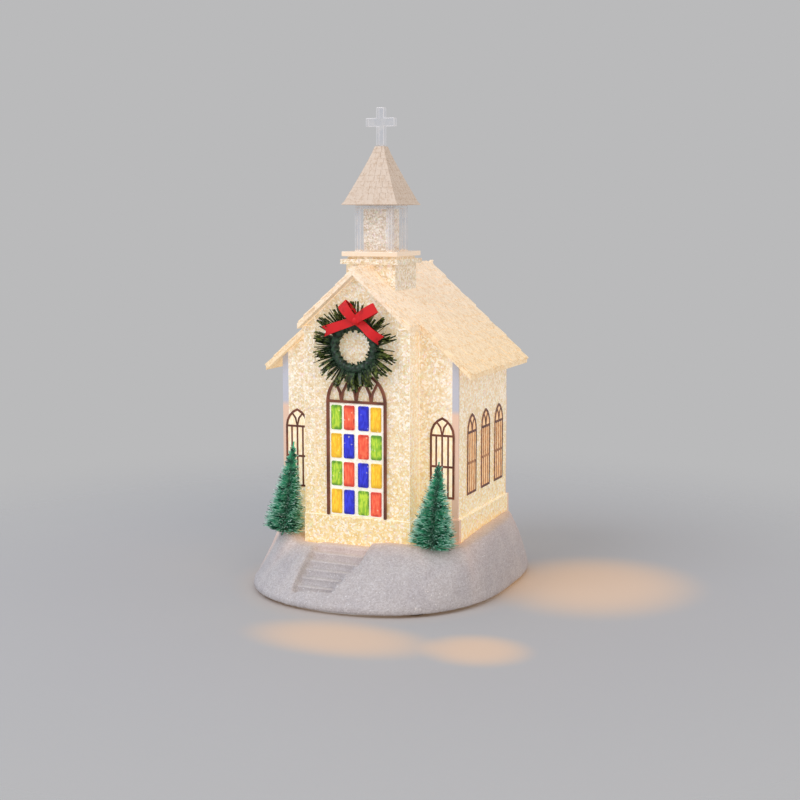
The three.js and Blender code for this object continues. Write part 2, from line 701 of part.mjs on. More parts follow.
// The strip at one end of the cells: a spring meets a flat end, a dimple meets a button
function contact(side, cells) {
  const wall = COMPARTMENT_HALF_X - FIT;
  const inner = wall - CONTACT_THICKNESS;
  const across = (near, far) => (side < 0 ? [-far, -near] : [near, far]);
  const low = cellPlaces[cells[0]] - CELL_DIAMETER * 0.3;
  const high = cellPlaces[cells.at(-1)] + CELL_DIAMETER * 0.3;
  const parts = [block(across(inner, wall), [low, high], [CELL_Z - 4.4, CELL_Z + 4.4])];
  for (const index of cells) {
    const y = cellPlaces[index];
    const meetsFlatEnd = (index % 2 === 0) === side < 0;
    const dimple = rodAlongX(y, CELL_Z, 2.2, across(CELL_LENGTH / 2 + FIT, wall), 12);
    parts.push(meetsFlatEnd ? contactSpring(side, y, inner - CELL_LENGTH / 2) : dimple);
  }
  const [only] = cells;
  const tab = block(across(inner, wall + TAB_REACH), [cellPlaces[only] - 1.6, cellPlaces[only] + 1.6], [
    CELL_Z - 0.5,
    CELL_Z + 0.5,
  ]);
  return cells.length > 1 ? join(...parts) : join(tab, ...parts);
}

// A conical spring from the strip to a cell's flat end, wound as one tube
function contactSpring(side, y, reach) {
  const gap = reach - FIT;
  const points = [];
  const stepsPerTurn = 6;
  for (let step = 0; step <= SPRING_TURNS * stepsPerTurn; step++) {
    const turn = step / stepsPerTurn;
    const angle = turn * 2 * Math.PI;
    const radius = 4.2 - (turn * 2.2) / SPRING_TURNS;
    const out = CELL_LENGTH / 2 + gap + FIT - 0.2 - (turn / SPRING_TURNS) * (gap - 0.4);
    const across = y + radius * Math.cos(angle);
    points.push(new THREE.Vector3(side * out, across, CELL_Z + radius * Math.sin(angle)));
  }
  return tube(points, 0.35, SPRING_TURNS * stepsPerTurn, 4);
}

// A closed tube along a smooth curve through points
function tube(points, radius, steps, sides) {
  const section = polygon(
    Array.from({ length: sides }, (_, side) => {
      const angle = (side * 2 * Math.PI) / sides;
      return [radius * Math.cos(angle), radius * Math.sin(angle)];
    }),
  );
  const path = new THREE.CatmullRomCurve3(points);
  return new THREE.ExtrudeGeometry(section, { steps, extrudePath: path, bevelEnabled: false });
}

function switchBody() {
  const z = [PLATE_TOP + FIT, PLATE_TOP + SWITCH_HEIGHT];
  const body = centred(SWITCH_X, SWITCH_Y, SWITCH_WIDTH / 2, SWITCH_LENGTH / 2, z);
  const travel = 2 * SWITCH_STEP;
  const halfY = (KNOB_LENGTH + travel) / 2 + 1.5;
  return cut(body, centred(SWITCH_X, SWITCH_Y, KNOB_WIDTH / 2 + 1, halfY, [0, PLATE_TOP + 2.6]));
}

// The knob stands at the end of its slot that lights the lamps, as in use
function switchKnob() {
  const y = SWITCH_Y - SWITCH_STEP;
  const stem = centred(SWITCH_X, y, KNOB_WIDTH / 2, KNOB_LENGTH / 2, [PLATE_BOTTOM + 0.3, PLATE_TOP + 2.3]);
  const footZ = [PLATE_TOP + 1, PLATE_TOP + 2.3];
  const foot = centred(SWITCH_X, y, KNOB_WIDTH / 2 + 0.6, KNOB_LENGTH / 2 + 0.8, footZ);
  const grooves = [-1, 0, 1].map((line) => {
    return centred(SWITCH_X, y + line * 1.1, 3, 0.2, [0, PLATE_BOTTOM + 0.6]);
  });
  return cut(join(stem, foot), ...grooves);
}

function circuitBoard() {
  const board = centred(POWER_X, BOARD_Y, BOARD_LENGTH / 2, BOARD_WIDTH / 2, [BOARD_Z, BOARD_TOP]);
  const holes = [-1, 1].map((side) => {
    return disc(POWER_X + side * (BOARD_LENGTH / 2 - 4), BOARD_Y, 1 + FIT, [0, BOARD_TOP + 5], 8);
  });
  const chip = centred(POWER_X + 1, BOARD_Y - 4, 3, 2, [BOARD_TOP - 0.5, BOARD_TOP + 1.6]);
  const part = centred(POWER_X + 6, BOARD_Y + 4, 2, 1.2, [BOARD_TOP - 0.5, BOARD_TOP + 1.2]);
  return cut(join(board, chip, part), ...holes);
}

function led() {
  const flange = disc(0, 0, LED_RADIUS + 0.4, [0, 1], 12);
  const barrel = disc(0, 0, LED_RADIUS, [0, LED_HEIGHT - LED_RADIUS], 12);
  const dome = new THREE.SphereGeometry(LED_RADIUS, 10, 5).translate(0, 0, LED_HEIGHT - LED_RADIUS);
  return join(flange, barrel, dome);
}

// Motor and magnetic drive, made round the motor's axis

function motorCan() {
  const flat = centred(0, 0, MOTOR_WIDTH / 2, MOTOR_DEPTH / 2, [MOTOR_Z, MOTOR_TOP]);
  const round = disc(0, 0, MOTOR_WIDTH / 2, [MOTOR_Z, MOTOR_TOP], 32);
  const boss = disc(0, 0, MOTOR_BOSS, [MOTOR_TOP - 1, MOTOR_TOP + MOTOR_BOSS_HEIGHT], 16);
  const bore = disc(0, 0, SHAFT_RADIUS + FIT, [MOTOR_TOP - 12, MOTOR_TOP + 5], 12);
  return cut(join(common(flat, round), boss), bore);
}

function motorClamp() {
  const z = [CLAMP_Z, CLAMP_Z + CLAMP_THICKNESS];
  const reach = MOTOR_WIDTH / 2 + 5;
  const bar = centred(0, 0, reach, 4, z);
  const ends = [-1, 1].map((side) => disc(side * reach, 0, 4, z, 12));
  const pins = [-1, 1].map((side) => disc(side * reach, 0, 1.1 + FIT, [0, CLAMP_Z + 5], 8));
  const eye = disc(0, 0, MOTOR_BOSS + FIT, [0, CLAMP_Z + 5], 16);
  const pad = disc(0, 0, MOTOR_BOSS + 3, z, 16);
  return cut(join(bar, pad, ...ends), ...pins, eye);
}

const motorShaft = () => disc(0, 0, SHAFT_RADIUS, [MOTOR_TOP - 11.7, HOLDER_TOP - MAGNET_HEIGHT - 0.9], 12);

function magnetHolder() {
  const wheel = disc(0, 0, HOLDER_RADIUS, [HOLDER_Z, HOLDER_TOP], 24);
  const bore = disc(0, 0, SHAFT_RADIUS + FIT, [0, HOLDER_TOP - MAGNET_HEIGHT - 0.6], 12);
  return cut(wheel, bore, magnetBar(FIT, HOLDER_TOP - MAGNET_HEIGHT - FIT));
}

const magnetBar = (grow, z) =>
  centred(0, 0, MAGNET_LENGTH / 2 + grow, MAGNET_WIDTH / 2 + grow, [z, z + MAGNET_HEIGHT + grow]);

// The floor closes the chamber from below: a plate with a skirt, the impeller's pin and the filler hole
function chamberFloor() {
  const edge = -(CHURCH_WALL - SEAL_STEP) - FIT;
  const posts = cornerPosts(FIT, [0, FLOOR_TOP + 5]);
  const sheet = planAt(edge, [FLOOR_Z, FLOOR_TOP]);
  const skirt = cut(
    planAt(edge, [FLOOR_Z - FLOOR_SKIRT, FLOOR_TOP]),
    planAt(edge - SKIRT_WALL, [0, FLOOR_Z]),
  );
  const pin = disc(0, MOTOR_Y, PIN_RADIUS, [FLOOR_Z, FLOOR_TOP + PIN_HEIGHT], 12);
  const hole = disc(PLUG_X, PLUG_Y, PLUG_RADIUS, [0, FLOOR_TOP + 5], 14);
  return mainBody(cut(join(sheet, skirt, pin), hole, ...posts));
}

// A flat gasket between the floor's edge and the step in the walls
function floorSeal() {
  const outer = -(CHURCH_WALL - SEAL_STEP) - FIT;
  const ring = cut(planAt(outer, [SEAL_Z, SEAL_Z + SEAL_HEIGHT]), planAt(outer - SEAL_WIDTH, [0, MAX_Z]));
  return ring;
}

function fillerPlug() {
  const stem = disc(PLUG_X, PLUG_Y, PLUG_RADIUS - FIT, [FLOOR_Z - 1, FLOOR_TOP + 0.5], 14);
  const flange = disc(PLUG_X, PLUG_Y, PLUG_RADIUS + 2, [FLOOR_Z - 2, FLOOR_Z - FIT], 14);
  return join(stem, flange);
}

// The impeller, made round its pin
function impeller() {
  const discTop = IMPELLER_Z + IMPELLER_DISC;
  const plate = disc(0, 0, IMPELLER_RADIUS, [IMPELLER_Z, discTop], 24);
  const hub = disc(0, 0, IMPELLER_HUB, [IMPELLER_Z, discTop + VANE_HEIGHT - 2], 16, IMPELLER_HUB - 1);
  const vanes = Array.from({ length: VANE_COUNT }, (_, vane) => {
    return impellerVane(discTop).rotateZ((vane * 2 * Math.PI) / VANE_COUNT);
  });
  const bore = disc(0, 0, PIN_RADIUS + FIT, [0, MAX_Z], 12);
  return cut(join(plate, hub, ...vanes), bore, magnetRoom());
}

// One vane: a strip that sweeps back as it goes out, no wider than the disc
function impellerVane(z) {
  const outer = new THREE.Shape();
  const reach = IMPELLER_RADIUS - 1;
  outer.moveTo(0, -VANE_THICKNESS / 2);
  outer.quadraticCurveTo(reach * 0.6, -VANE_THICKNESS / 2, reach, -4.5);
  outer.lineTo(reach - 0.6, -4.5 + VANE_THICKNESS);
  outer.quadraticCurveTo(reach * 0.6, VANE_THICKNESS / 2, 0, VANE_THICKNESS / 2);
  return raised(outer, [z - 0.5, z + VANE_HEIGHT], 3);
}

// The impeller's magnet is a bar with a hole, let into the disc from below
const magnetRoom = () => magnetBar(FIT, IMPELLER_Z - FIT);

function impellerMagnet() {
  return cut(magnetBar(0, IMPELLER_Z), disc(0, 0, PIN_RADIUS + FIT, [0, MAX_Z], 12));
}

// Church

const underRoof = (x) => RIDGE_Z - ROOF_PITCH * Math.abs(x) - ROOF_THICKNESS;

// A prism with the slopes of the roof, down to a floor height, for cutting what meets the roof
function slopePrism(lift, low, [y0, y1]) {
  const half = ROOF_HALF + 30;
  const eave = RIDGE_Z - ROOF_PITCH * half + lift;
  const gable = polygon([
    [-half, Math.min(low, eave - 1)],
    [half, Math.min(low, eave - 1)],
    [half, eave],
    [0, RIDGE_Z + lift],
    [-half, eave],
  ]);
  return onWall(gable, y1 - y0).translate(0, y1, 0);
}

// Solid clear posts that fill the chamber's corners
function cornerPosts(grow, z) {
  const posts = [];
  for (const side of [-1, 1]) {
    const x = side * (NAVE_WIDTH / 2);
    const bayX = side * (BAY_WIDTH / 2);
    const half = CORNER_POST + grow;
    for (const y of [NAVE_FRONT, NAVE_BACK]) posts.push(centred(x, y, half, half, z));
    posts.push(centred(bayX, BAY_FRONT, BAY_POST + grow, BAY_POST + grow, z));
  }
  return posts;
}

function pilasters() {
  const top = underRoof(BAY_WIDTH / 2 + PILASTER_PROUD) - FIT;
  return [-1, 1].flatMap((side) => {
    const outer = side * (BAY_WIDTH / 2 + PILASTER_PROUD);
    const inner = side * (BAY_WIDTH / 2 - PILASTER_WIDTH);
    const across = [Math.min(inner, outer), Math.max(inner, outer)];
    const deep = [BAY_FRONT - PILASTER_PROUD, BAY_FRONT + PILASTER_WIDTH];
    const shaft = block(across, deep, [PLINTH_TOP - 1, top]);
    const capital = block(
      [across[0] - 0.6, across[1] + 0.6],
      [deep[0] - 0.6, deep[1] + 0.6],
      [top - CAPITAL_HEIGHT, top],
    );
    return [shaft, capital];
  });
}

function churchWalls() {
  const bottom = LEDGE_Z + FIT;
  const tall = [bottom, RIDGE_Z];
  const long = [BAY_FRONT - 10, NAVE_BACK + 10];
  const plinth = planAt(PLINTH_PROUD, [bottom, PLINTH_TOP]);
  const outside = join(planAt(0, tall), plinth, ...pilasters());
  const chamber = cut(planAt(-CHURCH_WALL, [0, RIDGE_Z + 1]), ...cornerPosts(0, [STEP_Z, RIDGE_Z + 2]));
  const seat = planAt(-(CHURCH_WALL - SEAL_STEP), [0, STEP_Z]);
  const trimmed = common(outside, slopePrism(-ROOF_THICKNESS - FIT, 0, long));
  return mainBody(cut(trimmed, chamber, seat));
}

// The cross-section of a roof: courses that overlap downwards and a flat soffit
function roofSection(half) {
  const courses = Math.round(half / SHINGLE_RUN);
  const line = (x) => RIDGE_Z - ROOF_PITCH * x;
  const right = [[half, line(half) - ROOF_THICKNESS]];
  for (let course = 0; course < courses; course++) {
    const low = half * (1 - course / courses);
    const high = half * (1 - (course + 1) / courses);
    right.push([low, line(low) + SHINGLE_STEP]);
    right.push([high, line(high)]);
  }
  right.pop();
  const left = right.map(([x, z]) => [-x, z]).reverse();
  return polygon([[0, line(0) - ROOF_THICKNESS], ...right, [0, line(0) + SHINGLE_STEP / 2], ...left]);
}

function roof(half, [front, back]) {
  const slopes = onWall(roofSection(half), back - front).translate(0, back, 0);
  return join(slopes, rodAlongY(0, RIDGE_Z, RIDGE_RADIUS, [front, back]));
}

const mainRoofFront = NAVE_FRONT - ROOF_FRONT_OVERHANG;
const bayRoofFront = BAY_FRONT - BAY_ROOF_FRONT_OVERHANG;
const bayRoofHalf = BAY_WIDTH / 2 + BAY_ROOF_SIDE_OVERHANG;
const mainRoof = () => roof(ROOF_HALF, [mainRoofFront, NAVE_BACK + ROOF_BACK_OVERHANG]);
const bayRoof = () => roof(bayRoofHalf, [bayRoofFront, mainRoofFront - FIT]);

// Steeple, made round its own axis

function square(width, z) {
  return centred(0, 0, width / 2, width / 2, z);
}

function steepleNeck() {
  const low = RIDGE_Z - (ROOF_PITCH * NECK_WIDTH) / 2;
  const tower = square(NECK_WIDTH, [low - 5, NECK_TOP]);
  const slab = square(CORNICE_WIDTH, [NECK_TOP - 0.1, NECK_TOP + CORNICE_SLAB]);
  const neck = square(NECK_WIDTH - 1, [NECK_TOP, NECK_TOP + CORNICE_SLAB + CORNICE_GAP]);
  const room = square(NECK_WIDTH - 2 * NECK_WALL, [low - 10, NECK_TOP - 1]);
  const way = square(BELFRY_CORE_WIDTH - 2 * BELFRY_CORE_WALL, [low, MAX_Z]);
  const roofRoom = slopePrism(SHINGLE_STEP + FIT, 0, [-NECK_WIDTH, NECK_WIDTH]);
  const ridgeRoom = rodAlongY(0, RIDGE_Z, RIDGE_RADIUS + FIT, [-NECK_WIDTH, NECK_WIDTH]);
  return cut(join(tower, slab, neck), room, way, roofRoom, ridgeRoom);
}

function belfryFrame() {
  const slab = square(CORNICE_WIDTH - 1, [CORNICE_Z, BELFRY_Z]);
  const topZ = BELFRY_Z + BELFRY_HEIGHT;
  const top = square(BELFRY_WIDTH, [topZ, topZ + BELFRY_TOP]);
  const offset = (BELFRY_WIDTH - BELFRY_POST) / 2;
  const posts = [];
  for (const x of [-offset, offset]) {
    for (const y of [-offset, offset]) {
      posts.push(centred(x, y, BELFRY_POST / 2, BELFRY_POST / 2, [BELFRY_Z - 0.5, topZ + 0.5]));
    }
  }
  const way = square(BELFRY_CORE_WIDTH - 2 * BELFRY_CORE_WALL, [0, MAX_Z]);
  return cut(join(slab, top, ...posts), way);
}

function belfryCore() {
  const z = [BELFRY_Z + FIT, BELFRY_Z + BELFRY_HEIGHT - FIT];
  return cut(square(BELFRY_CORE_WIDTH, z), square(BELFRY_CORE_WIDTH - 2 * BELFRY_CORE_WALL, [0, MAX_Z]));
}

// A four-sided spire that flares at its eaves, in courses that overlap downwards
function spireCap() {
  const profile = [[0, CAP_Z]];
  const corner = (width) => (width / 2) * Math.SQRT2;
  for (let course = 0; course < CAP_COURSES; course++) {
    const low = course / CAP_COURSES;
    const high = (course + 1) / CAP_COURSES;
    profile.push([corner(capWidth(low)) + SHINGLE_STEP, CAP_Z + low * CAP_HEIGHT]);
    profile.push([corner(capWidth(high)), CAP_Z + high * CAP_HEIGHT]);
  }
  profile.push([0, CAP_TOP_Z]);
  const points = profile.map(([radius, z]) => new THREE.Vector2(radius, z));
  const body = new THREE.LatheGeometry(points, 4).rotateX(Math.PI / 2).rotateZ(Math.PI / 4);
  return cut(body, crossPeg(FIT));
}

// The cross's peg; grown, it is the hole that the peg goes into
function crossPeg(grow) {
  const inset = PEG_INSET - grow;
  const z = [CAP_TOP_Z - CROSS_PEG - grow, CAP_TOP_Z + 1];
  return centred(0, 0, CROSS_BAR / 2 - inset, CROSS_THICKNESS / 2 - inset, z);
}

function capWidth(share) {
  return CAP_TOP_WIDTH + (CAP_WIDTH - CAP_TOP_WIDTH) * (1 - share) ** CAP_FLARE;
}

function cross() {
  const z = [CAP_TOP_Z + FIT, MAX_Z];
  const armZ = CAP_TOP_Z + CROSS_HEIGHT * CROSS_ARM_SHARE;
  const half = CROSS_THICKNESS / 2;
  const upright = centred(0, 0, CROSS_BAR / 2, half, z);
  const arms = centred(0, 0, CROSS_SPAN / 2, half, [armZ - CROSS_BAR / 2, armZ + CROSS_BAR / 2]);
  return join(upright, arms, crossPeg(0));
}

// Door and windows, drawn with x across and y up from their sill

// A thin upright ring on the wall plane, the path of one tracery bar
function ringBar(x, y, radius, strip, depth, curveSegments) {
  const outline = new THREE.Shape().absarc(x, y, radius + strip / 2, 0, 2 * Math.PI);
  outline.holes.push(new THREE.Path().absarc(x, y, radius - strip / 2, 0, 2 * Math.PI));
  return onWall(outline, depth, curveSegments);
}

const wallBlock = ([x0, x1], [z0, z1], depth) => block([x0, x1], [-depth, 0], [z0, z1]);

function roundArch(half, spring, foot = 0) {
  const outline = new THREE.Shape();
  outline.moveTo(half, foot);
  outline.lineTo(half, spring);
  outline.absarc(0, spring, half, 0, Math.PI);
  outline.lineTo(-half, foot);
  return outline;
}

function pointedArch(half, spring, rise, inset) {
  const radius = (half * half + rise * rise) / (2 * half) - inset;
  const offset = radius + inset - half;
  const tip = Math.acos(offset / radius);
  const outline = new THREE.Shape();
  outline.moveTo(half - inset, inset);
  outline.lineTo(half - inset, spring);
  outline.absarc(-offset, spring, radius, 0, tip);
  outline.absarc(offset, spring, radius, Math.PI - tip, Math.PI);
  outline.lineTo(-half + inset, inset);
  return outline;
}

function doorFrame() {
  const half = DOOR_WIDTH / 2;
  const inner = half - DOOR_STRIP;
  const depth = TRACERY_DEPTH;
  const rim = cut(
    onWall(roundArch(half, DOOR_HEIGHT), depth, 10),
    onWall(roundArch(inner, DOOR_HEIGHT, -DOOR_STRIP), depth * 3, 10).translate(0, depth, 0),
  );
  const head = onWall(roundArch(inner + 0.2, DOOR_HEIGHT, DOOR_HEIGHT), depth, 10);
  const light = DOOR_WIDTH / DOOR_LIGHTS;
  const bars = [];
  for (let mullion = 1; mullion < DOOR_LIGHTS; mullion++) {
    const x = -half + mullion * light;
    bars.push(ringBar(x + half, DOOR_HEIGHT, half, TRACERY_STRIP, depth, 10));
    bars.push(ringBar(x - half, DOOR_HEIGHT, half, TRACERY_STRIP, depth, 10));
  }
  const rail = wallBlock([-half, half], [DOOR_HEIGHT - 0.2, DOOR_HEIGHT + 1.1], depth);
  return join(rim, rail, common(join(...bars), head));
}

const paneColumns = Array.from({ length: DOOR_LIGHTS }, (_, light) => {
  const column = light - (DOOR_LIGHTS - 1) / 2;
  return column * PANE_PITCH + Math.sign(column) * (PANE_MIDDLE_GAP / 2);
});

function doorGlass() {
  const half = DOOR_WIDTH / 2 - DOOR_STRIP - FIT;
  const sheet = wallBlock([-half, half], [0, DOOR_HEIGHT - 0.2 - FIT], GLASS_THICKNESS);
  const panes = [];
  for (const x of paneColumns) {
    for (let row = 0; row < PANE_ROWS; row++) {
      const z = DOOR_HEIGHT - PANE_GAP[1] + 0.3 - PANE_HEIGHT / 2 - row * PANE_ROW_PITCH;
      panes.push(onWall(paneOutline(x, z), GLASS_THICKNESS + PANE_PROUD));
    }
  }
  return join(sheet, ...panes);
}

// A pane with its corners taken off
function paneOutline(x, z) {
  const far = [PANE_WIDTH / 2, PANE_HEIGHT / 2];
  const near = far.map((half) => half - PANE_CORNER);
  return polygon([
    [x + far[0], z - near[1]],
    [x + far[0], z + near[1]],
    [x + near[0], z + far[1]],
    [x - near[0], z + far[1]],
    [x - far[0], z + near[1]],
    [x - far[0], z - near[1]],
    [x - near[0], z - far[1]],
    [x + near[0], z - far[1]],
  ]);
}

function lancetWindow() {
  const half = WINDOW_WIDTH / 2;
  const depth = WINDOW_DEPTH;
  const outer = onWall(pointedArch(half, WINDOW_SPRING, WINDOW_RISE, 0), depth, 2);
  const inner = onWall(pointedArch(half, WINDOW_SPRING, WINDOW_RISE, WINDOW_STRIP), depth * 3, 2);
  const top = WINDOW_SPRING + WINDOW_RISE;
  const mullion = (x) => {
    return wallBlock([x - MULLION_STRIP / 2, x + MULLION_STRIP / 2], [0, WINDOW_SPRING], depth);
  };
  const rail = (z) => wallBlock([-half, half], [z - WINDOW_STRIP / 2, z + WINDOW_STRIP / 2], depth);
  const radius = (half * half + WINDOW_RISE * WINDOW_RISE) / (2 * half);
  const bars = [
    ...[-MULLION_OFFSET, 0, MULLION_OFFSET].map(mullion),
    rail(WINDOW_TRANSOM),
    rail(WINDOW_SPRING),
  ];
  const above = wallBlock([-half, half], [WINDOW_SPRING, top], depth);
  const arcs = [-radius, radius].map((x) => {
    return ringBar(x, WINDOW_SPRING, radius, MULLION_STRIP, depth, 7);
  });
  const frame = cut(outer, inner.translate(0, depth, 0));
  return join(frame, common(join(...bars, common(join(...arcs), above)), outer));
}

// Wreath, bow and trees

// A thin three-sided strand from a root along a direction
function strand(root, direction, length, width) {
  const cone = new THREE.ConeGeometry(width / 2, length, 3).translate(0, length / 2, 0);
  const turn = new THREE.Quaternion().setFromUnitVectors(new THREE.Vector3(0, 1, 0), direction);
  return cone.applyQuaternion(turn).translate(root.x, root.y, root.z);
}

// Needles fan out from a wire ring: long ones outwards, short ones into the hole and to the front
function wreath() {
  const ring = new THREE.TorusGeometry(WREATH_RADIUS, WREATH_TUBE, 6, 28).rotateX(Math.PI / 2);
  const strands = [];
  for (let needle = 0; needle < WREATH_NEEDLES; needle++) {
    const around = (needle * 2 * Math.PI) / WREATH_NEEDLES;
    const fan = (needle % 5) / 4;
    const tilt = THREE.MathUtils.degToRad(-8 + fan * 186);
    const radial = new THREE.Vector3(Math.cos(around), 0, Math.sin(around));
    const root = radial.clone().multiplyScalar(WREATH_RADIUS);
    const direction = radial.clone().multiplyScalar(Math.cos(tilt));
    direction.y = -Math.max(0, Math.sin(tilt));
    direction.normalize();
    const outward = Math.max(0, Math.cos(tilt));
    const inward = Math.cos(tilt) < -0.2;
    const reach = inward ? WREATH_RADIUS - WREATH_HOLE : 7 + (WREATH_REACH - WREATH_RADIUS - 7) * outward;
    strands.push(strand(root, direction, reach, NEEDLE_WIDTH));
  }
  return join(ring, ...strands);
}

// One loop of the bow: a flat band that goes out and comes back
function bowLoop(length, grow) {
  const outline = new THREE.Shape();
  outline.ellipse(length / 2, 0, length / 2 + grow, 2.4 + grow, 0, 2 * Math.PI);
  if (!grow) {
    const hole = new THREE.Path();
    hole.ellipse(length / 2, 0, length / 2 - RIBBON_THICKNESS, 2.4 - RIBBON_THICKNESS, 0, 2 * Math.PI);
    outline.holes.push(hole);
  }
  const half = RIBBON_WIDTH / 2 + grow;
  return raised(outline, [-half, half], 6);
}

// One tail of the bow: a band that hangs in a slow wave and ends in a swallow cut
function bowTail(length, grow) {
  const thick = RIBBON_THICKNESS / 2 + grow;
  const outline = new THREE.Shape();
  outline.moveTo(0, -thick);
  outline.quadraticCurveTo(length / 2, -thick + 1.6, length, -thick);
  outline.lineTo(length, thick);
  outline.quadraticCurveTo(length / 2, thick + 1.6, 0, thick);
  const half = RIBBON_WIDTH / 2 + grow;
  return raised(outline, [-half, half], 5);
}

// The bow round its knot; grown, it is the room that the wreath leaves for it
function bow(grow) {
  const knot = new THREE.SphereGeometry(2.9 + grow, 8, 5).scale(1, 0.9, 1);
  const placed = (bands, shape) => {
    return bands.map(({ length, turn }) => shape(length, grow).rotateY(-THREE.MathUtils.degToRad(turn)));
  };
  return join(knot, ...placed(BOW_LOOPS, bowLoop), ...placed(BOW_TAILS, bowTail));
}

const bowPlace = new THREE.Vector3(BOW_X, -WREATH_TUBE - 3.6, WREATH_RADIUS + BOW_RISE);

// The wreath with room for the bow, the bay's roof and the top of the door frame
function wreathWithRoom(place) {
  const bowRoom = geometryOf(bow(FIT)).translate(bowPlace.x, bowPlace.y, bowPlace.z);
  const roofRoom = cut(
    slopePrism(SHINGLE_STEP + FIT, 0, [bayRoofFront - FIT, NAVE_FRONT]),
    slopePrism(-ROOF_THICKNESS - FIT, -10, [bayRoofFront - 10, NAVE_FRONT + 10]),
  );
  const archRoom = onWall(roundArch(DOOR_WIDTH / 2 + FIT, DOOR_HEIGHT), TRACERY_DEPTH + FIT, 10);
  archRoom.translate(0, BAY_FRONT - FIT, DOOR_Z);
  const rooms = [geometryOf(roofRoom), archRoom].map((room) => {
    return room.translate(-place.x, -place.y, -place.z);
  });
  return mainBody(cut(wreath(), bowRoom, ...rooms));
}

// A bottle-brush tree: a stem with strands that rise a little, longest at the foot
function tree({ bare, height, foot }) {
  const golden = Math.PI * (3 - Math.sqrt(5));
  const parts = [disc(0, 0, TREE_STEM, [-TREE_PEG, bare + height - 1], 8)];
  for (let turn = 0; turn < TREE_STRANDS; turn++) {
    const share = turn / TREE_STRANDS;
    const root = new THREE.Vector3(0, 0, bare + share * (height - 4));
    const direction = new THREE.Vector3(Math.cos(turn * golden), Math.sin(turn * golden), TREE_LIFT);
    const reach = foot * (1 - share) ** 0.9 + 2;
    parts.push(strand(root, direction.normalize(), reach, NEEDLE_WIDTH));
  }
  return join(...parts);
}

// Leads

function positiveLead() {
  const x = POWER_X + COMPARTMENT_HALF_X - FIT + TAB_REACH;
  const y = cellPlaces.at(-1);
  const end = POWER_X + BOARD_LENGTH / 2 - 8;
  return lead([
    [x + FIT, y, CELL_Z],
    [x + 2.6, y, CELL_Z + 0.8],
    [x + 4, y - 1, CELL_Z + 6],
    [x + 3, BOARD_Y + 4, BOARD_TOP + 1],
    [x - 3, BOARD_Y + 4, BOARD_TOP + 4],
    [end, BOARD_Y + 4, BOARD_TOP + 2.8],
    [end, BOARD_Y + 4, BOARD_TOP + FIT],
  ]);
}

function negativeLead() {
  const x = POWER_X - COMPARTMENT_HALF_X + FIT - TAB_REACH;
  const y = cellPlaces[0];
  const end = POWER_X - BOARD_LENGTH / 2 + 8;
  return lead([
    [x - FIT, y, CELL_Z],
    [x - 2, y + 1, CELL_Z + 0.3],
    [x - 2.6, y + 8, CELL_Z + 2],
    [x - 2.4, BOARD_Y - 4, CELL_Z + 8],
    [x + 1.5, BOARD_Y - 4, BOARD_TOP + 2],
    [end - 3, BOARD_Y - 4, BOARD_TOP + 4],
    [end, BOARD_Y - 4, BOARD_TOP + 2.8],
    [end, BOARD_Y - 4, BOARD_TOP + FIT],
  ]);
}

function motorLead() {
  const x = CHURCH_X - 6;
  const face = MOTOR_Y - MOTOR_DEPTH / 2;
  return lead([
    [x, BOARD_Y + 5, BOARD_TOP + FIT],
    [x, BOARD_Y + 5.5, BOARD_TOP + 2.6],
    [x, BOARD_Y + 12, BOARD_TOP + 3],
    [x, face - 5, BOARD_TOP - 2],
    [x, face - 4.2, MOTOR_Z + 12],
    [x, face - 2.4, MOTOR_Z + 8.5],
    [x, face - FIT, MOTOR_Z + 8.2],
  ]);
}

function switchLead() {
  const top = PLATE_TOP + SWITCH_HEIGHT;
  const end = POWER_X + BOARD_LENGTH / 2 - 5;
  return lead([
    [SWITCH_X, SWITCH_Y - 5, top + FIT],
    [SWITCH_X, SWITCH_Y - 5, top + 3],
    [CHURCH_X + NAVE_WIDTH / 2 - LEDGE_WIDTH - LEAD_ROOM, SWITCH_Y - 5, BOARD_Z],
    [SWITCH_X - 8, BOARD_Y - 4.5, BOARD_TOP + 3],
    [end, BOARD_Y - 4.5, BOARD_TOP + 2.6],
    [end, BOARD_Y - 4.5, BOARD_TOP + FIT],
  ]);
}

const lead = (route) => tube(route.map((point) => new THREE.Vector3(...point)), LEAD_RADIUS, 14, 5);

// Assembly

function baseGroup() {
  const group = new THREE.Group();
  group.add(piece("snow_base", snowBase(), MATERIALS.snow));
  group.add(piece("base_plate", basePlate(), MATERIALS.white));
  group.add(piece("battery_door", batteryDoor(), MATERIALS.white));
  group.add(piece("switch_body", switchBody(), MATERIALS.black));
  group.add(piece("switch_knob", switchKnob(), MATERIALS.black));
  const footZ = [0, PLATE_BOTTOM + FOOT_POCKET - FIT];
  FOOT_PLACES.forEach(([x, y], index) => {
    group.add(piece(`foot_${index + 1}`, disc(x, y, FOOT_RADIUS, footZ, 16), MATERIALS.rubber));
  });
  const bosses = [...TREES.map(({ x, y }) => [x, y]), ...REAR_BOSSES];
  bosses.forEach(([x, y], index) => {
    const mesh = piece(`plate_screw_${index + 1}`, screw(SCREW_LENGTH), MATERIALS.steel);
    mesh.position.set(x, y, PLATE_BOTTOM + FIT);
    group.add(mesh);
  });
  const doorScrew = piece("door_screw", screw(SCREW_HEAD_HEIGHT + DOOR_SCREW_LENGTH), MATERIALS.steel);
  doorScrew.position.set(POWER_X, TONGUE_Y, PLATE_BOTTOM + 0.1);
  group.add(doorScrew);
  return group;
}

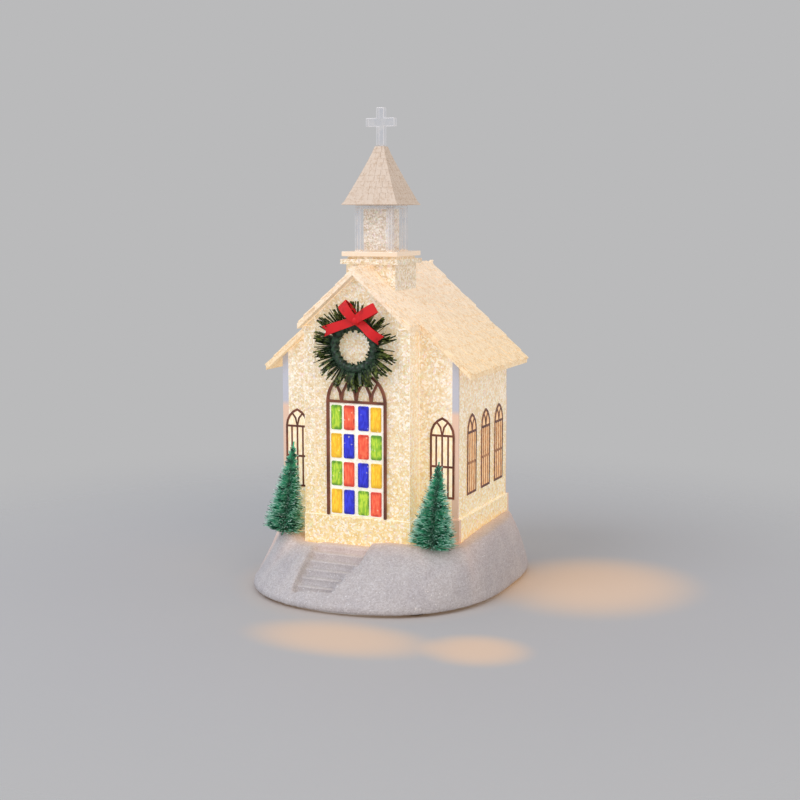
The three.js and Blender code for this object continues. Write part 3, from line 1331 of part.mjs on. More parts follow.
function powerGroup() {
  const group = new THREE.Group();
  cellPlaces.forEach((y, index) => {
    const mesh = piece(`cell_${index + 1}`, cell(), MATERIALS.cell);
    mesh.position.set(POWER_X, y, CELL_Z);
    mesh.rotation.z = index % 2 ? Math.PI : 0;
    group.add(mesh);
  });
  const strips = new THREE.Group();
  strips.position.x = POWER_X;
  strips.add(piece("contact_negative", contact(-1, [0]), MATERIALS.steel));
  strips.add(piece("contact_bridge_1", contact(1, [0, 1]), MATERIALS.steel));
  strips.add(piece("contact_bridge_2", contact(-1, [1, 2]), MATERIALS.steel));
  strips.add(piece("contact_positive", contact(1, [2]), MATERIALS.steel));
  group.add(strips);
  group.add(piece("circuit_board", circuitBoard(), MATERIALS.board));
  for (let index = 0; index < LED_COUNT; index++) {
    const mesh = piece(`led_${index + 1}`, led(), MATERIALS.lamp);
    mesh.position.set(POWER_X + (index - (LED_COUNT - 1) / 2) * LED_SPACING, BOARD_Y, BOARD_TOP + FIT);
    group.add(mesh);
  }
  group.add(piece("positive_lead", positiveLead(), MATERIALS.red_lead));
  group.add(piece("negative_lead", negativeLead(), MATERIALS.black));
  group.add(piece("motor_lead", motorLead(), MATERIALS.red_lead));
  group.add(piece("switch_lead", switchLead(), MATERIALS.black));
  return group;
}

function driveGroup() {
  const group = new THREE.Group();
  group.position.set(CHURCH_X, MOTOR_Y, 0);
  group.add(piece("motor_can", motorCan(), MATERIALS.steel));
  group.add(piece("motor_clamp", motorClamp(), MATERIALS.white));
  group.add(piece("motor_shaft", motorShaft(), MATERIALS.steel));
  group.add(piece("magnet_holder", magnetHolder(), MATERIALS.white));
  group.add(piece("drive_magnet", magnetBar(0, HOLDER_TOP - MAGNET_HEIGHT), MATERIALS.magnet));
  group.add(piece("impeller", impeller(), MATERIALS.clear));
  group.add(piece("impeller_magnet", impellerMagnet(), MATERIALS.magnet));
  return group;
}

function churchGroup() {
  const group = new THREE.Group();
  group.position.x = CHURCH_X;
  group.add(piece("chamber_floor", chamberFloor(), MATERIALS.clear));
  group.add(piece("floor_seal", floorSeal(), MATERIALS.rubber));
  group.add(piece("filler_plug", fillerPlug(), MATERIALS.rubber));
  group.add(piece("church_walls", churchWalls(), MATERIALS.clear));
  group.add(piece("main_roof", mainRoof(), MATERIALS.roof));
  group.add(piece("bay_roof", bayRoof(), MATERIALS.roof));
  group.add(steepleGroup(), doorGroup(), wreathGroup());
  for (const window of windows()) group.add(window);
  return group;
}

function steepleGroup() {
  const group = new THREE.Group();
  group.position.y = STEEPLE_Y;
  group.add(piece("steeple_neck", steepleNeck(), MATERIALS.steeple));
  group.add(piece("belfry_frame", belfryFrame(), MATERIALS.clear));
  group.add(piece("belfry_core", belfryCore(), MATERIALS.steeple));
  group.add(piece("spire_cap", spireCap(), MATERIALS.cap));
  group.add(piece("cross", cross(), MATERIALS.clear));
  return group;
}

function doorGroup() {
  const group = new THREE.Group();
  group.position.set(0, BAY_FRONT - FIT, DOOR_Z);
  group.add(piece("door_frame", doorFrame(), MATERIALS.brown));
  group.add(piece("door_glass", doorGlass(), MATERIALS.glass));
  return group;
}

function wreathGroup() {
  const group = new THREE.Group();
  group.position.set(0, BAY_FRONT - FIT - WREATH_TUBE, WREATH_Z);
  group.add(piece("wreath", wreathWithRoom(group.position), MATERIALS.needle));
  const ribbon = piece("bow", bow(0), MATERIALS.ribbon);
  ribbon.position.copy(bowPlace);
  group.add(ribbon);
  return group;
}

function windows() {
  const made = [];
  const place = (name, x, y, turn) => {
    const mesh = piece(name, lancetWindow(), MATERIALS.brown);
    mesh.position.set(x, y, WINDOW_Z);
    mesh.rotation.z = turn;
    made.push(mesh);
  };
  place("front_window_left", -FRONT_WINDOW_X, NAVE_FRONT - FIT, 0);
  place("front_window_right", FRONT_WINDOW_X, NAVE_FRONT - FIT, 0);
  const wall = NAVE_WIDTH / 2 + FIT;
  for (let index = 0; index < SIDE_WINDOW_COUNT; index++) {
    const y = NAVE_FRONT + SIDE_WINDOW_FIRST + index * SIDE_WINDOW_PITCH;
    place(`side_window_right_${index + 1}`, wall, y, Math.PI / 2);
    place(`side_window_left_${index + 1}`, -wall, y, -Math.PI / 2);
  }
  return made;
}

function treesGroup() {
  const group = new THREE.Group();
  for (const spec of TREES) {
    const mesh = piece(spec.name, tree(spec), MATERIALS.tree);
    mesh.position.set(spec.x, spec.y, snowAt(spec) - FIT);
    mesh.rotation.y = THREE.MathUtils.degToRad(spec.lean);
    group.add(mesh);
  }
  return group;
}

const figurine = new THREE.Group();
figurine.add(baseGroup(), powerGroup(), driveGroup(), churchGroup(), treesGroup());

export default figurine;
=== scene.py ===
# %% [markdown]
# # Lighted church figurine
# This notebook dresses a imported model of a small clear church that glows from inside.
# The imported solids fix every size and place, in metres, with the door facing -Y.
# Each step adds one piece or one finish, and says how the real one is made.

# %% Load the frame
import math
import random

import bmesh
import bpy
from mathutils import Matrix, Vector, noise


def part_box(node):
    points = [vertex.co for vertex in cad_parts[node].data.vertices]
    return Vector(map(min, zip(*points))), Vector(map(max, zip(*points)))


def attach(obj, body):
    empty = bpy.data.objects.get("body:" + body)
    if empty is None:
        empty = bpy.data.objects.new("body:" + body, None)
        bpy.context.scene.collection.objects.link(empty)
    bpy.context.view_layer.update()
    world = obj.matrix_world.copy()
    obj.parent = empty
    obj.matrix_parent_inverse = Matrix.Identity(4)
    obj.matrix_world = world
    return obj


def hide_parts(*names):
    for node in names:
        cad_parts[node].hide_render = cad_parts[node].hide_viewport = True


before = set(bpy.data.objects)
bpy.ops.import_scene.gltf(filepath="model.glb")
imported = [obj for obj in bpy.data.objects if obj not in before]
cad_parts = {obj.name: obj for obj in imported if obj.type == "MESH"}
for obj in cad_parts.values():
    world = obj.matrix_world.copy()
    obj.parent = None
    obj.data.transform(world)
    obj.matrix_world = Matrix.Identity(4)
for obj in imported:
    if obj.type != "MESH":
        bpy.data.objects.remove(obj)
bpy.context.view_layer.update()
MM = 0.001
BODY = "figurine"
GOLDEN_TURN = math.pi * (3 - math.sqrt(5))
random.seed(7)
print("nodes:", len(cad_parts))


def shown(name, data):
    """A new object in the scene that holds a mesh, a lamp or a camera."""
    holder = bpy.data.objects.new(name, data)
    bpy.context.scene.collection.objects.link(holder)
    return holder


# %% [markdown]
# The camera stands where the photographer stood: to the right of the door and a little above.
# A long lens at 0.79 m keeps the uprights parallel, as in a product photograph.

# %% Camera
AZIMUTH = math.radians(23.24)
ELEVATION = math.radians(7.72)
DISTANCE = 794.38 * MM
AIM = Vector((-3.16, 23.67, 98.69)) * MM
LENS = 62.19

backwards = Vector(
    (
        math.sin(AZIMUTH) * math.cos(ELEVATION),
        -math.cos(AZIMUTH) * math.cos(ELEVATION),
        math.sin(ELEVATION),
    )
)
lens = bpy.data.cameras.new("camera")
lens.lens = LENS
lens.clip_start = 0.02
camera = shown("camera", lens)
camera.matrix_world = backwards.to_track_quat("Z", "Y").to_matrix().to_4x4()
camera.matrix_world.translation = AIM + backwards * DISTANCE
bpy.context.scene.camera = camera
bpy.context.scene.view_settings.view_transform = "Standard"

# %% [markdown]
# Shader maths reads best as sums. A small class wraps a socket, so that `1 - mask` adds a node.
# Every other node comes from one method, which sets the node's choices first and its sockets next.

# %% Shader helpers


def colour(code):
    """A web colour such as "f2dcb8" as the linear numbers that a shader takes."""
    shares = [int(code[at : at + 2], 16) / 255 for at in (0, 2, 4)]
    return [((v + 0.055) / 1.055) ** 2.4 if v > 0.04045 else v / 12.92 for v in shares] + [1]


class Value:
    """A socket of a finish, used as a number or a colour."""

    def __init__(self, finish, socket):
        self.finish = finish
        self.socket = socket

    def maths(self, operation, *others, swap=False):
        terms = [self, *others][:: -1 if swap else 1]
        return self.finish.node("ShaderNodeMath", {"operation": operation}, dict(enumerate(terms)))

    def __add__(self, other):
        return self.maths("ADD", other)

    def __sub__(self, other):
        return self.maths("SUBTRACT", other)

    def __rsub__(self, other):
        return self.maths("SUBTRACT", other, swap=True)

    def __mul__(self, other):
        return self.maths("MULTIPLY", other)

    def __truediv__(self, other):
        return self.maths("DIVIDE", other)

    def __gt__(self, other):
        return self.maths("GREATER_THAN", other)

    def __lt__(self, other):
        return self.maths("LESS_THAN", other)

    def __abs__(self):
        return self.maths("ABSOLUTE")

    __radd__ = __add__
    __rmul__ = __mul__

    def least(self, other):
        return self.maths("MINIMUM", other)

    def most(self, other):
        return self.maths("MAXIMUM", other)

    def ramp(self, low, high):
        """0 where the value is low, 1 where it is high, and a smooth step between."""
        sockets = {"Value": self, "From Min": low, "From Max": high}
        return self.finish.node("ShaderNodeMapRange", {"interpolation_type": "SMOOTHSTEP"}, sockets)


class Finish:
    """One material, built node by node."""

    def __init__(self, name):
        self.material = bpy.data.materials.new(name)
        self.material.use_nodes = True
        self.tree = self.material.node_tree
        self.tree.nodes.clear()
        self.place = self.node("ShaderNodeTexCoord", out="Object")

    def node(self, kind, choices=None, sockets=None, out=0):
        made = self.tree.nodes.new(kind)
        for key, value in (choices or {}).items():
            setattr(made, key, value)
        for key, value in (sockets or {}).items():
            if isinstance(value, Value):
                self.tree.links.new(value.socket, made.inputs[key])
            else:
                made.inputs[key].default_value = colour(value) if isinstance(value, str) else value
        return None if out is None else Value(self, made.outputs[out])

    def axes(self):
        """The x, y and z of a point, each as a value."""
        return self.split(self.place)

    def split(self, vector):
        return [self.node("ShaderNodeSeparateXYZ", {}, {0: vector}, axis) for axis in range(3)]

    def mix(self, low, high, factor):
        """A colour between two."""
        choices = {"data_type": "RGBA"}
        return self.node("ShaderNodeMix", choices, {0: factor, 6: low, 7: high}, 2)

    def tint(self, base, other, factor):
        """One colour multiplied by another."""
        choices = {"data_type": "RGBA", "blend_type": "MULTIPLY"}
        return self.node("ShaderNodeMix", choices, {0: factor, 6: base, 7: other}, 2)

    def cloud(self, size, detail=3, at=None):
        """Soft noise between 0 and 1 whose blobs are about that size in metres."""
        sockets = {"Vector": at or self.place, "Scale": 1 / size, "Detail": detail}
        return self.node("ShaderNodeTexNoise", {}, sockets)

    def cells(self, size, out="Distance", at=None):
        """Crystals of about that size: how far their middles are, or a random colour for each."""
        sockets = {"Vector": at or self.place, "Scale": 1 / size}
        return self.node("ShaderNodeTexVoronoi", {}, sockets, out)

    def chance(self, size):
        """A random number between 0 and 1 for each crystal."""
        return self.node("ShaderNodeSeparateColor", {}, {0: self.cells(size, "Color")})

    def bump(self, height, depth, strength=1.0):
        sockets = {"Height": height, "Distance": depth, "Strength": strength}
        return self.node("ShaderNodeBump", {}, sockets)

    def stretched(self, x, y, z):
        """The place with each axis scaled, to draw a pattern out along one."""
        return self.node("ShaderNodeMapping", {}, {"Vector": self.place, "Scale": (x, y, z)})

    def rounds(self):
        """1 on rounded edges and 0 on faces that look along an axis, from the way each faces."""
        x, y, z = (abs(way) for way in self.split(self.node("ShaderNodeTexCoord", out="Normal")))
        return x.most(y).most(z).ramp(0.99, 0.95)

    def surface(self, **sockets):
        """A Principled shader. Names are written with _ for a space."""
        named = {key.replace("_", " "): value for key, value in sockets.items()}
        return self.node("ShaderNodeBsdfPrincipled", {}, named)

    def all_over(self, **sockets):
        """The finished material, with one Principled shader."""
        return self.done(self.surface(**sockets))

    def blend(self, first, second, factor):
        return self.node("ShaderNodeMixShader", {}, {0: factor, 1: first, 2: second})

    def done(self, shader):
        self.node("ShaderNodeOutputMaterial", {}, {"Surface": shader}, None)
        return self.material


# %% [markdown]
# The church is moulded in clear acrylic and filled with liquid and glitter, lit by lamps below.
# From a step away, its walls look like crushed ice that glows, yellow at the foot and whiter above.
# Crystal cells of several sizes give the crushed look, the rainbow specks and the glints.

# %% Glowing glitter finishes
LAMP_Z = 22 * MM
EAVE_Z = 121 * MM
DRIFT_SIZE = 3.4 * MM


def glitter(name, low, high, glow, shadow="e9dabb", speck=1.1 * MM, contrast=0.85):
    """Clear plastic over glitter that glows in a low colour at the lamps and a high one above."""
    f = Finish(name)
    z = f.axes()[2]
    tone = f.mix(low, high, z.ramp(LAMP_Z, EAVE_Z))
    flakes = f.chance(speck) * 0.55 + f.chance(speck * 0.6) * 0.45
    drifts = f.cloud(DRIFT_SIZE, 4).ramp(0.32, 0.68)
    shade = f.mix(shadow, "ffffff", (flakes * 0.8 + drifts * 0.3).ramp(0.1, 0.85))
    pastel = f.mix(f.cells(speck * 1.3, "Color"), "ffffff", 0.62)
    rainbow = f.mix(tone, pastel, (f.chance(speck * 1.1) > 0.6) * 0.3)
    turned = (f.chance(speck * 0.9) > 0.965) * 0.4
    dull = f.mix(f.tint(rainbow, shade, contrast), "b4b4ae", turned)
    # Painted highlights: pale glints on random crystals, and along the rounded edges.
    glints = (f.chance(speck * 0.8) > 0.78) * 0.5
    lit = f.mix(dull, "fffaf0", glints.most(f.rounds() * 0.6))
    crystals = f.bump(flakes + f.cells(speck), 0.3 * MM, 0.6)
    return f, f.surface(
        Base_Color=lit,
        Roughness=0.3,
        Emission_Color=lit,
        Emission_Strength=glow,
        Normal=crystals,
        Coat_Weight=0.25,
        Coat_Roughness=0.12,
    )


# %% [markdown]
# The corners of the walls are solid acrylic, so no glitter swims there and they stay clear.
# The post's colour is painted: the grey of the room seen through it above, and a painted pink glow
# near the lamps below.

# %% Wall finish
CHURCH_X = -2.4 * MM
NAVE_HALF = 52.5 * MM
NAVE_FRONT = -21.7 * MM
NAVE_BACK = 57.3 * MM
PORCH_HALF = 30 * MM
PORCH_FRONT = -36.2 * MM
POST_WIDTH = 3.6 * MM
POST_DEPTH = 1.2 * MM
POST_PROUD = 2 * MM
POST_GREY = 102 * MM
POST_FADE = 4 * MM


def wall_finish():
    f, glow = glitter("church_glitter", "ead39a", "e4d2b2", 0.4)
    x, y, z = f.axes()
    off_side = NAVE_HALF - abs(x - CHURCH_X)
    off_end = (y - NAVE_FRONT).least(NAVE_BACK - y)
    strip = (off_side < POST_WIDTH) * (off_end < POST_DEPTH) * (off_end > -POST_PROUD)
    # Painted light: the room's grey seen through the post above, and a painted pink glow lower
    # down.
    tone = f.mix("f2ccb2", "c6c7d0", z.ramp(POST_GREY - POST_FADE, POST_GREY))
    clear = f.surface(
        Base_Color=tone,
        Roughness=0.12,
        Emission_Color=tone,
        Emission_Strength=0.1,
        Coat_Weight=0.6,
    )
    return f.done(f.blend(glow, clear, strip))


def plain_glitter(*settings):
    f, shader = glitter(*settings)
    return f.done(shader)


WALLS = wall_finish()
NECK = plain_glitter("neck_glitter", "ecd9bc", "e8d6b8", 0.24, "dccbaa")
BELFRY = plain_glitter("belfry_glitter", "e9dccc", "e9dccc", 0.16, "cdbda6", 0.9 * MM, 0.8)

# %% [markdown]
# Frosted shingles let the glow through but hide the glitter, so they only need a soft warm light.
# Snow is glitter in glue over a moulded shell: grains, and a few flakes that mirror the room.

# %% Roof and snow finishes
ROOF_GLOW = (118 * MM, 172 * MM)
LAMPLIGHT_REACH = (26 * MM, -6 * MM)
FLAKE_SHARE = 0.01


def shingle_finish(name, low, high, shadow, glow, depth):
    """Frosted shingles, from a low colour at the eaves to a high one at the ridge."""
    f = Finish(name)
    z = f.axes()[2]
    inside = f.mix(low, high, z.ramp(*ROOF_GLOW))
    flakes = f.chance(1.0 * MM) * 0.6 + f.cloud(5 * MM, 4) * 0.8
    tone = f.tint(inside, f.mix(shadow, "ffffff", flakes.ramp(0.2, 0.9)), 0.7)
    grain = f.cells(0.9 * MM) + f.cloud(2.5 * MM, 5)
    return f.all_over(
        Base_Color=tone,
        Roughness=0.6,
        Emission_Color=tone,
        Emission_Strength=glow,
        Normal=f.bump(grain, depth, 0.6),
    )


def church_gap(f):
    """How far a point lies from the walls of the nave or the porch, in plan."""
    x, y, _ = f.axes()
    across = abs(x - CHURCH_X)
    lengthwise = abs(y - (NAVE_FRONT + NAVE_BACK) / 2) - (NAVE_BACK - NAVE_FRONT) / 2
    nave = (across - NAVE_HALF).most(lengthwise)
    porch = (across - PORCH_HALF).most(PORCH_FRONT - y)
    return nave.least(porch).most(0.0)


STEP_LEFT = -23.9 * MM
STEP_RIGHT = 8.1 * MM
STEP_BACK = -37.8 * MM
STEP_RUN = 5 * MM
STEP_COUNT = 6
STEP_INSET = 0.8 * MM
STEP_CUT = 2.6 * MM


def treads(f, snow):
    """Painted shade in the corner of each stair and a painted highlight on its nose."""
    x, y, _ = f.axes()
    down = (STEP_BACK - y) / STEP_RUN
    right = (down - STEP_COUNT / 2).most(0.0) * -STEP_CUT + STEP_RIGHT
    stairs = (x > STEP_LEFT + STEP_INSET) * (right > x) * (down > 0) * (down < STEP_COUNT + 1)
    along = down.maths("FRACT")
    # Painted shade in each stair's corner, and a painted highlight on each nose.
    corner = f.mix(snow, "a49a98", along.ramp(0.45, 0.05) * stairs * 0.24)
    return f.mix(corner, "ece4de", along.ramp(0.65, 0.95) * stairs * 0.2)


def snow_finish(tone, shadow, lamplight):
    """Glitter in glue: fine grains and a few flakes, with a painted warm glow close to the walls.
    """
    f = Finish("glitter_snow")
    grains = f.cells(0.7 * MM)
    flakes = f.chance(0.5 * MM) > 1 - FLAKE_SHARE
    patches = f.mix(shadow, tone, f.cloud(12 * MM, 4).ramp(0.3, 0.65))
    dusted = f.tint(patches, f.mix("d8d4d2", "ffffff", f.chance(0.6 * MM)), 0.8)
    height = grains * 0.6 + f.cloud(1.6 * MM, 5) + f.cloud(6 * MM, 2) * 1.5
    # Painted light: a warm glow on the snow near the walls.
    near = church_gap(f).ramp(*LAMPLIGHT_REACH)
    return f.all_over(
        Base_Color=f.mix(treads(f, dusted), "ffffff", flakes * 0.4),
        Roughness=0.75 - flakes * 0.4,
        Metallic=flakes * 0.3,
        Emission_Color=f.mix("000000", "ffae5c", near * near),
        Emission_Strength=lamplight,
        Normal=f.bump(height, 0.3 * MM, 0.6),
    )


ROOF = shingle_finish("frosted_shingles", "f3dcb6", "f4e1c8", "e2cfb0", 0.26, 0.2 * MM)
SNOW = snow_finish("d0cccc", "c6c2c4", 0.36)
CAP = shingle_finish("snowy_shingles", "d8c6b3", "d8c6b3", "e4d8ca", 0.1, 0.07 * MM)

# %% [markdown]
# The smaller finishes: paint, glass, needles, ribbon, and the plain parts of the base.
# Each has at least a grain and a change of tone, as no moulded or painted part is one flat colour.

# %% Small finishes
BELFRY_GLOW = (186.5 * MM, 184 * MM)


def moulded(
    name, code, rough=0.45, grain=0.5 * MM, depth=0.05 * MM, metal=0.0, coat=0.0, vary=0.18
):
    """Plastic, paint, rubber or metal with a fine grain and faint patches."""
    f = Finish(name)
    patches = f.cloud(7 * MM, 4)
    darker = [v * (1 - vary) for v in colour(code)[:3]] + [1]
    tone = f.mix(darker, code, patches.ramp(0.35, 0.65))
    return f.all_over(
        Base_Color=tone,
        Roughness=rough + patches * 0.12,
        Metallic=metal,
        Coat_Weight=coat,
        Normal=f.bump(f.cloud(grain, 2), depth, 0.6),
    )


def clear_finish():
    """Clear acrylic in air: a thin veil with painted highlights on its rounded edges and a painted
    warm glow near the roof.
    """
    f = Finish("clear_acrylic")
    z = f.axes()[2]
    # Painted light: a warm glow below the belfry's top, and highlights on the rounded edges.
    lit = z.ramp(*BELFRY_GLOW)
    edges = f.rounds()
    milky = f.cloud(4 * MM, 2).ramp(0.35, 0.65)
    veil = f.mix("ccd3e2", "f4f2f2", milky.most(edges))
    return f.all_over(
        Base_Color=f.mix(veil, "fbe8d0", lit),
        Emission_Color=f.mix("000000", "fbe2c2", lit),
        Emission_Strength=0.15,
        Roughness=0.12,
        Alpha=(0.16 + edges * 0.42).most(lit * 0.8),
        Coat_Weight=0.3,
        Normal=f.bump(f.cloud(2.5 * MM, 2), 0.06 * MM, 0.4),
    )


PANE_INNER = 4.2 * MM
PANE_OUTER = 11.7 * MM
PANE_TOP = 96.4 * MM
PANE_PITCH = 15.3 * MM
PANE_SIZE = (6.3 * MM, 1.5 * MM, 13.4 * MM)


def pane_rim(f):
    """How near a point of the door lies to the rim of its pane: 0 in the middle, 1 at the rim."""
    x, _, z = f.axes()
    across = abs(x - CHURCH_X)
    off_x = abs(across - PANE_INNER).least(abs(across - PANE_OUTER)) / (PANE_SIZE[0] / 2)
    row = ((z - PANE_TOP) / PANE_PITCH + 0.5).maths("FRACT")
    return off_x.most(abs(row - 0.5) * PANE_PITCH / (PANE_SIZE[2] / 2))


def painted_glass(name, thin, thick, glow, rim=None):
    """Glass paint brushed on clear plastic, in streaks, and pooled at a pane's rim."""
    f = Finish(name)
    strokes = f.cloud(2.2 * MM, 3, f.stretched(2.4, 1, 0.7))
    tone = f.mix(thick, thin, strokes.ramp(0.38, 0.62))
    if rim:
        pooled = pane_rim(f).ramp(0.62, 0.95) * f.cloud(3 * MM, 2).ramp(0.3, 0.55)
        tone = f.mix(tone, rim, pooled * 0.85)
    lit = f.mix(tone, "fff2c8", (f.chance(0.8 * MM) > 0.99) * 0.3)
    return f.all_over(
        Base_Color=lit,
        Roughness=0.2,
        Emission_Color=lit,
        Emission_Strength=glow,
        Normal=f.bump(strokes, 0.25 * MM, 0.5),
        Coat_Weight=0.4,
    )


WREATH_X = CHURCH_X
WREATH_Z = 134.8 * MM
OLIVE_FROM = (13 * MM, 19 * MM)


def needle_finish():
    """Foil needles: blue-green by the cord and olive towards the tips; their pale streaks are
    painted highlights.
    """
    f = Finish("tinsel_needles")
    x, _, z = f.axes()
    off_x, off_z = x - WREATH_X, z - WREATH_Z
    away = (off_x * off_x + off_z * off_z).maths("SQRT")
    # The pale streaks are painted highlights on the foil.
    streak = f.cloud(1.6 * MM, 3)
    inner = f.mix("0a2013", "2f5236", streak.ramp(0.35, 0.7))
    outer = f.mix("1c2c0a", "838f3a", streak.ramp(0.42, 0.66))
    tone = f.mix(inner, outer, away.ramp(*OLIVE_FROM) * 0.8)
    return f.all_over(Base_Color=tone, Roughness=0.4 + streak * 0.2, Coat_Weight=0.15)


def ribbon_finish():
    f = Finish("satin_ribbon")
    threads = {"Vector": f.place, "Scale": 900, "Distortion": 0.4}
    weave = f.node("ShaderNodeTexWave", {"bands_direction": "DIAGONAL"}, threads, 1)
    tone = f.mix("a00208", "e30d15", f.cloud(5 * MM, 3).ramp(0.25, 0.5))
    return f.all_over(Base_Color=tone, Roughness=0.55, Normal=f.bump(weave, 0.04 * MM, 0.4))


SIDE_WINDOW_FIRST = -1.8 * MM
SIDE_WINDOW_PITCH = 22 * MM
BARS_HALF = 5.7 * MM
BARS_FOOT = 54.5 * MM
BARS_HEAD = 86.5 * MM


def side_paint():
    """The same brown paint, thinned to amber on the bars inside each side window."""
    f = Finish("side_window_paint")
    _, y, z = f.axes()
    along = (y - SIDE_WINDOW_FIRST) / SIDE_WINDOW_PITCH + 0.5
    off_middle = abs(along.maths("FRACT") - 0.5) * SIDE_WINDOW_PITCH
    inner = (off_middle < BARS_HALF) * (z < BARS_HEAD) * (z > BARS_FOOT)
    patches = f.cloud(3 * MM, 3).ramp(0.35, 0.65)
    brown = f.mix("5a2e1c", "8a4c34", patches)
    thin = f.mix("b0713f", "e0a468", patches)
    tone = f.mix(brown, thin, inner * 0.85)
    return f.all_over(Base_Color=tone, Roughness=0.45, Coat_Weight=0.2)


CLEAR = clear_finish()
SIDE_PAINT = side_paint()
BROWN = moulded("brown_paint", "8a4c34", 0.4, 0.9 * MM, 0.15 * MM, coat=0.2, vary=0.5)
NEEDLES = needle_finish()
RIBBON = ribbon_finish()
WHITE = moulded("white_moulding", "e9e8e4", 0.45, vary=0.05)
RUBBER = moulded("soft_rubber", "3a2626", 0.85, 0.8 * MM, 0.08 * MM)
STEEL = moulded("plated_steel", "b9bcc0", 0.25, 0.4 * MM, 0.02 * MM, metal=1.0)
MAGNET = moulded("plated_magnet", "6b6d70", 0.35, 0.4 * MM, 0.03 * MM, metal=0.9)
WRAP = moulded("cell_wrap", "2f3f55", 0.35, coat=0.4)
BOARD = moulded("printed_board", "2d6a3f", 0.5, 1.2 * MM)
LAMP = painted_glass("warm_lamp", "fff0c8", "ffdc98", 0.9)
BLACK = moulded("black_moulding", "1d1d1f", 0.5)
RED_LEAD = moulded("red_lead", "a8201c", 0.5)
BLACK_LEAD = moulded("black_lead", "161617", 0.5)
AMBER = painted_glass("amber_glass", "ffd8a2", "f2b878", 0.32)
CREAM_GLASS = painted_glass("cream_glass", "fff1d6", "f4dcae", 0.35)
PANE_FINISHES = {
    "green": painted_glass("green_pane", "bfdc3c", "88bc2c", 0.3, "3d7f1c"),
    "red": painted_glass("red_pane", "f4704c", "ea5236", 0.3, "c23020"),
    "blue": painted_glass("blue_pane", "343cdc", "2328c0", 0.25, "15188c"),
    "yellow": painted_glass("yellow_pane", "f6cf34", "f2b422", 0.3, "d3a31a"),
}

# %% [markdown]
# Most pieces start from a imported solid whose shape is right: a copy is welded, its flat faces are
# joined again, and its hard edges get a small round, which catches light as a moulded edge does.

# %% Mesh helpers
HARD_EDGE = math.radians(35)


def block(bm, size, middle):
    """Adds a box and returns its corners."""
    box = bmesh.ops.create_cube(bm, size=1)["verts"]
    bmesh.ops.scale(bm, vec=size, verts=box)
    bmesh.ops.translate(bm, vec=middle, verts=box)
    return box


def bevel(bm, edges, offset, segments=2, clamp=False):
    """Rounds edges off and returns what that made."""
    return bmesh.ops.bevel(
        bm,
        geom=list(edges),
        offset=offset,
        segments=segments,
        profile=0.5,
        affect="EDGES",
        clamp_overlap=clamp,
        material=-1,
    )


def smooth(bm, verts):
    ways = {"use_axis_" + axis: True for axis in "xyz"}
    bmesh.ops.smooth_vert(bm, verts=verts, factor=0.5, **ways)


def as_mesh(bm, name):
    mesh = bpy.data.meshes.new(name)
    bm.to_mesh(mesh)
    bm.free()
    return mesh


def copy_of(node):
    """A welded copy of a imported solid, with coplanar triangles joined into faces."""
    bm = bmesh.new()
    bm.from_mesh(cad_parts[node].data)
    bmesh.ops.remove_doubles(bm, verts=bm.verts, dist=0.002 * MM)
    bmesh.ops.dissolve_limit(bm, angle_limit=math.radians(1), verts=bm.verts, edges=bm.edges)
    return bm


def finished(name, bm, material, body=BODY, instead_of=(), sharp=35):
    """Makes the mesh an object with its finish, on its body."""
    mesh = as_mesh(bm, name)
    mesh.materials.append(material)
    mesh.shade_smooth()
    mesh.set_sharp_from_angle(angle=math.radians(sharp))
    piece = shown(name, mesh)
    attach(piece, body)
    if instead_of:
        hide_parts(*instead_of)
    return piece


def rounded(node, name, material, width=0.35 * MM, body=BODY, sharp=35):
    """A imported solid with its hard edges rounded, in its finish."""
    bm = copy_of(node)
    hard = [e for e in bm.edges if e.is_manifold and e.calc_face_angle() > HARD_EDGE]
    bevel(bm, hard, width, clamp=True)
    return finished(name, bm, material, body, [node], sharp)


def repaint(node, material):
    """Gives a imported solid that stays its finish."""
    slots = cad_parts[node].data.materials
    slots.clear()
    slots.append(material)


# %% [markdown]
# The drift is a moulded shell under glitter snow. A copy of its solid is remeshed into even quads,
# relaxed, and pushed in and out by noise, so that its drifts and crumbly edges are real shape.
# Snow is banked up under each tree and along the stairs, and the treads are laid on crisp.

# %% Snow drift
SNOW_VOXEL = 1.05 * MM
STEP_TOP = 26.9 * MM
STEP_RISE = 3.38 * MM
STEP_OVERLAP = 2 * MM
STEP_DEPTH = 5 * MM
STEP_LIFT = 0.1 * MM
BANK_FOOT = 7 * MM
BANK_WIDTH = 3.6 * MM
BANK_PASSES = 8
RIM_Z = 5 * MM
RIM_EASE = 6 * MM
BROAD_NOISE = (13 * MM, 0.35 * MM)
FINE_NOISE = (2.6 * MM, 0.22 * MM)
# The middle, reach and height of each mound, in mm
MOUNDS = [
    ((-48.1, -37), 14, 6.5),
    ((41.6, -40), 12, 1.6),
    ((14, -52), 12, 1.2),
]


def remeshed(bm, voxel):
    """The same body in even quads of about the voxel's size."""
    holder = shown("voxels", as_mesh(bm, "voxels"))
    even = holder.modifiers.new("even", "REMESH")
    even.mode = "VOXEL"
    even.voxel_size = voxel
    shape = holder.evaluated_get(bpy.context.evaluated_depsgraph_get())
    bm = bmesh.new()
    bm.from_mesh(shape.to_mesh())
    bpy.data.objects.remove(holder)
    return bm


def lift_at(x, y):
    """How much snow is banked up at a place, in metres."""
    lift = 0.0
    for (mx, my), reach, height in MOUNDS:
        away = math.hypot(x / MM - mx, y / MM - my) / reach
        lift += height * MM * max(0.0, 1 - away * away) ** 2
    return lift


def on_stairs(co):
    """The stairs are moulded crisp, so the snow's noise leaves most of their shape alone."""
    return STEP_LEFT - 2 * MM < co.x < STEP_RIGHT + 2 * MM and co.y < STEP_BACK


def noise_at(co, size, height):
    return noise.noise(co / size) * height


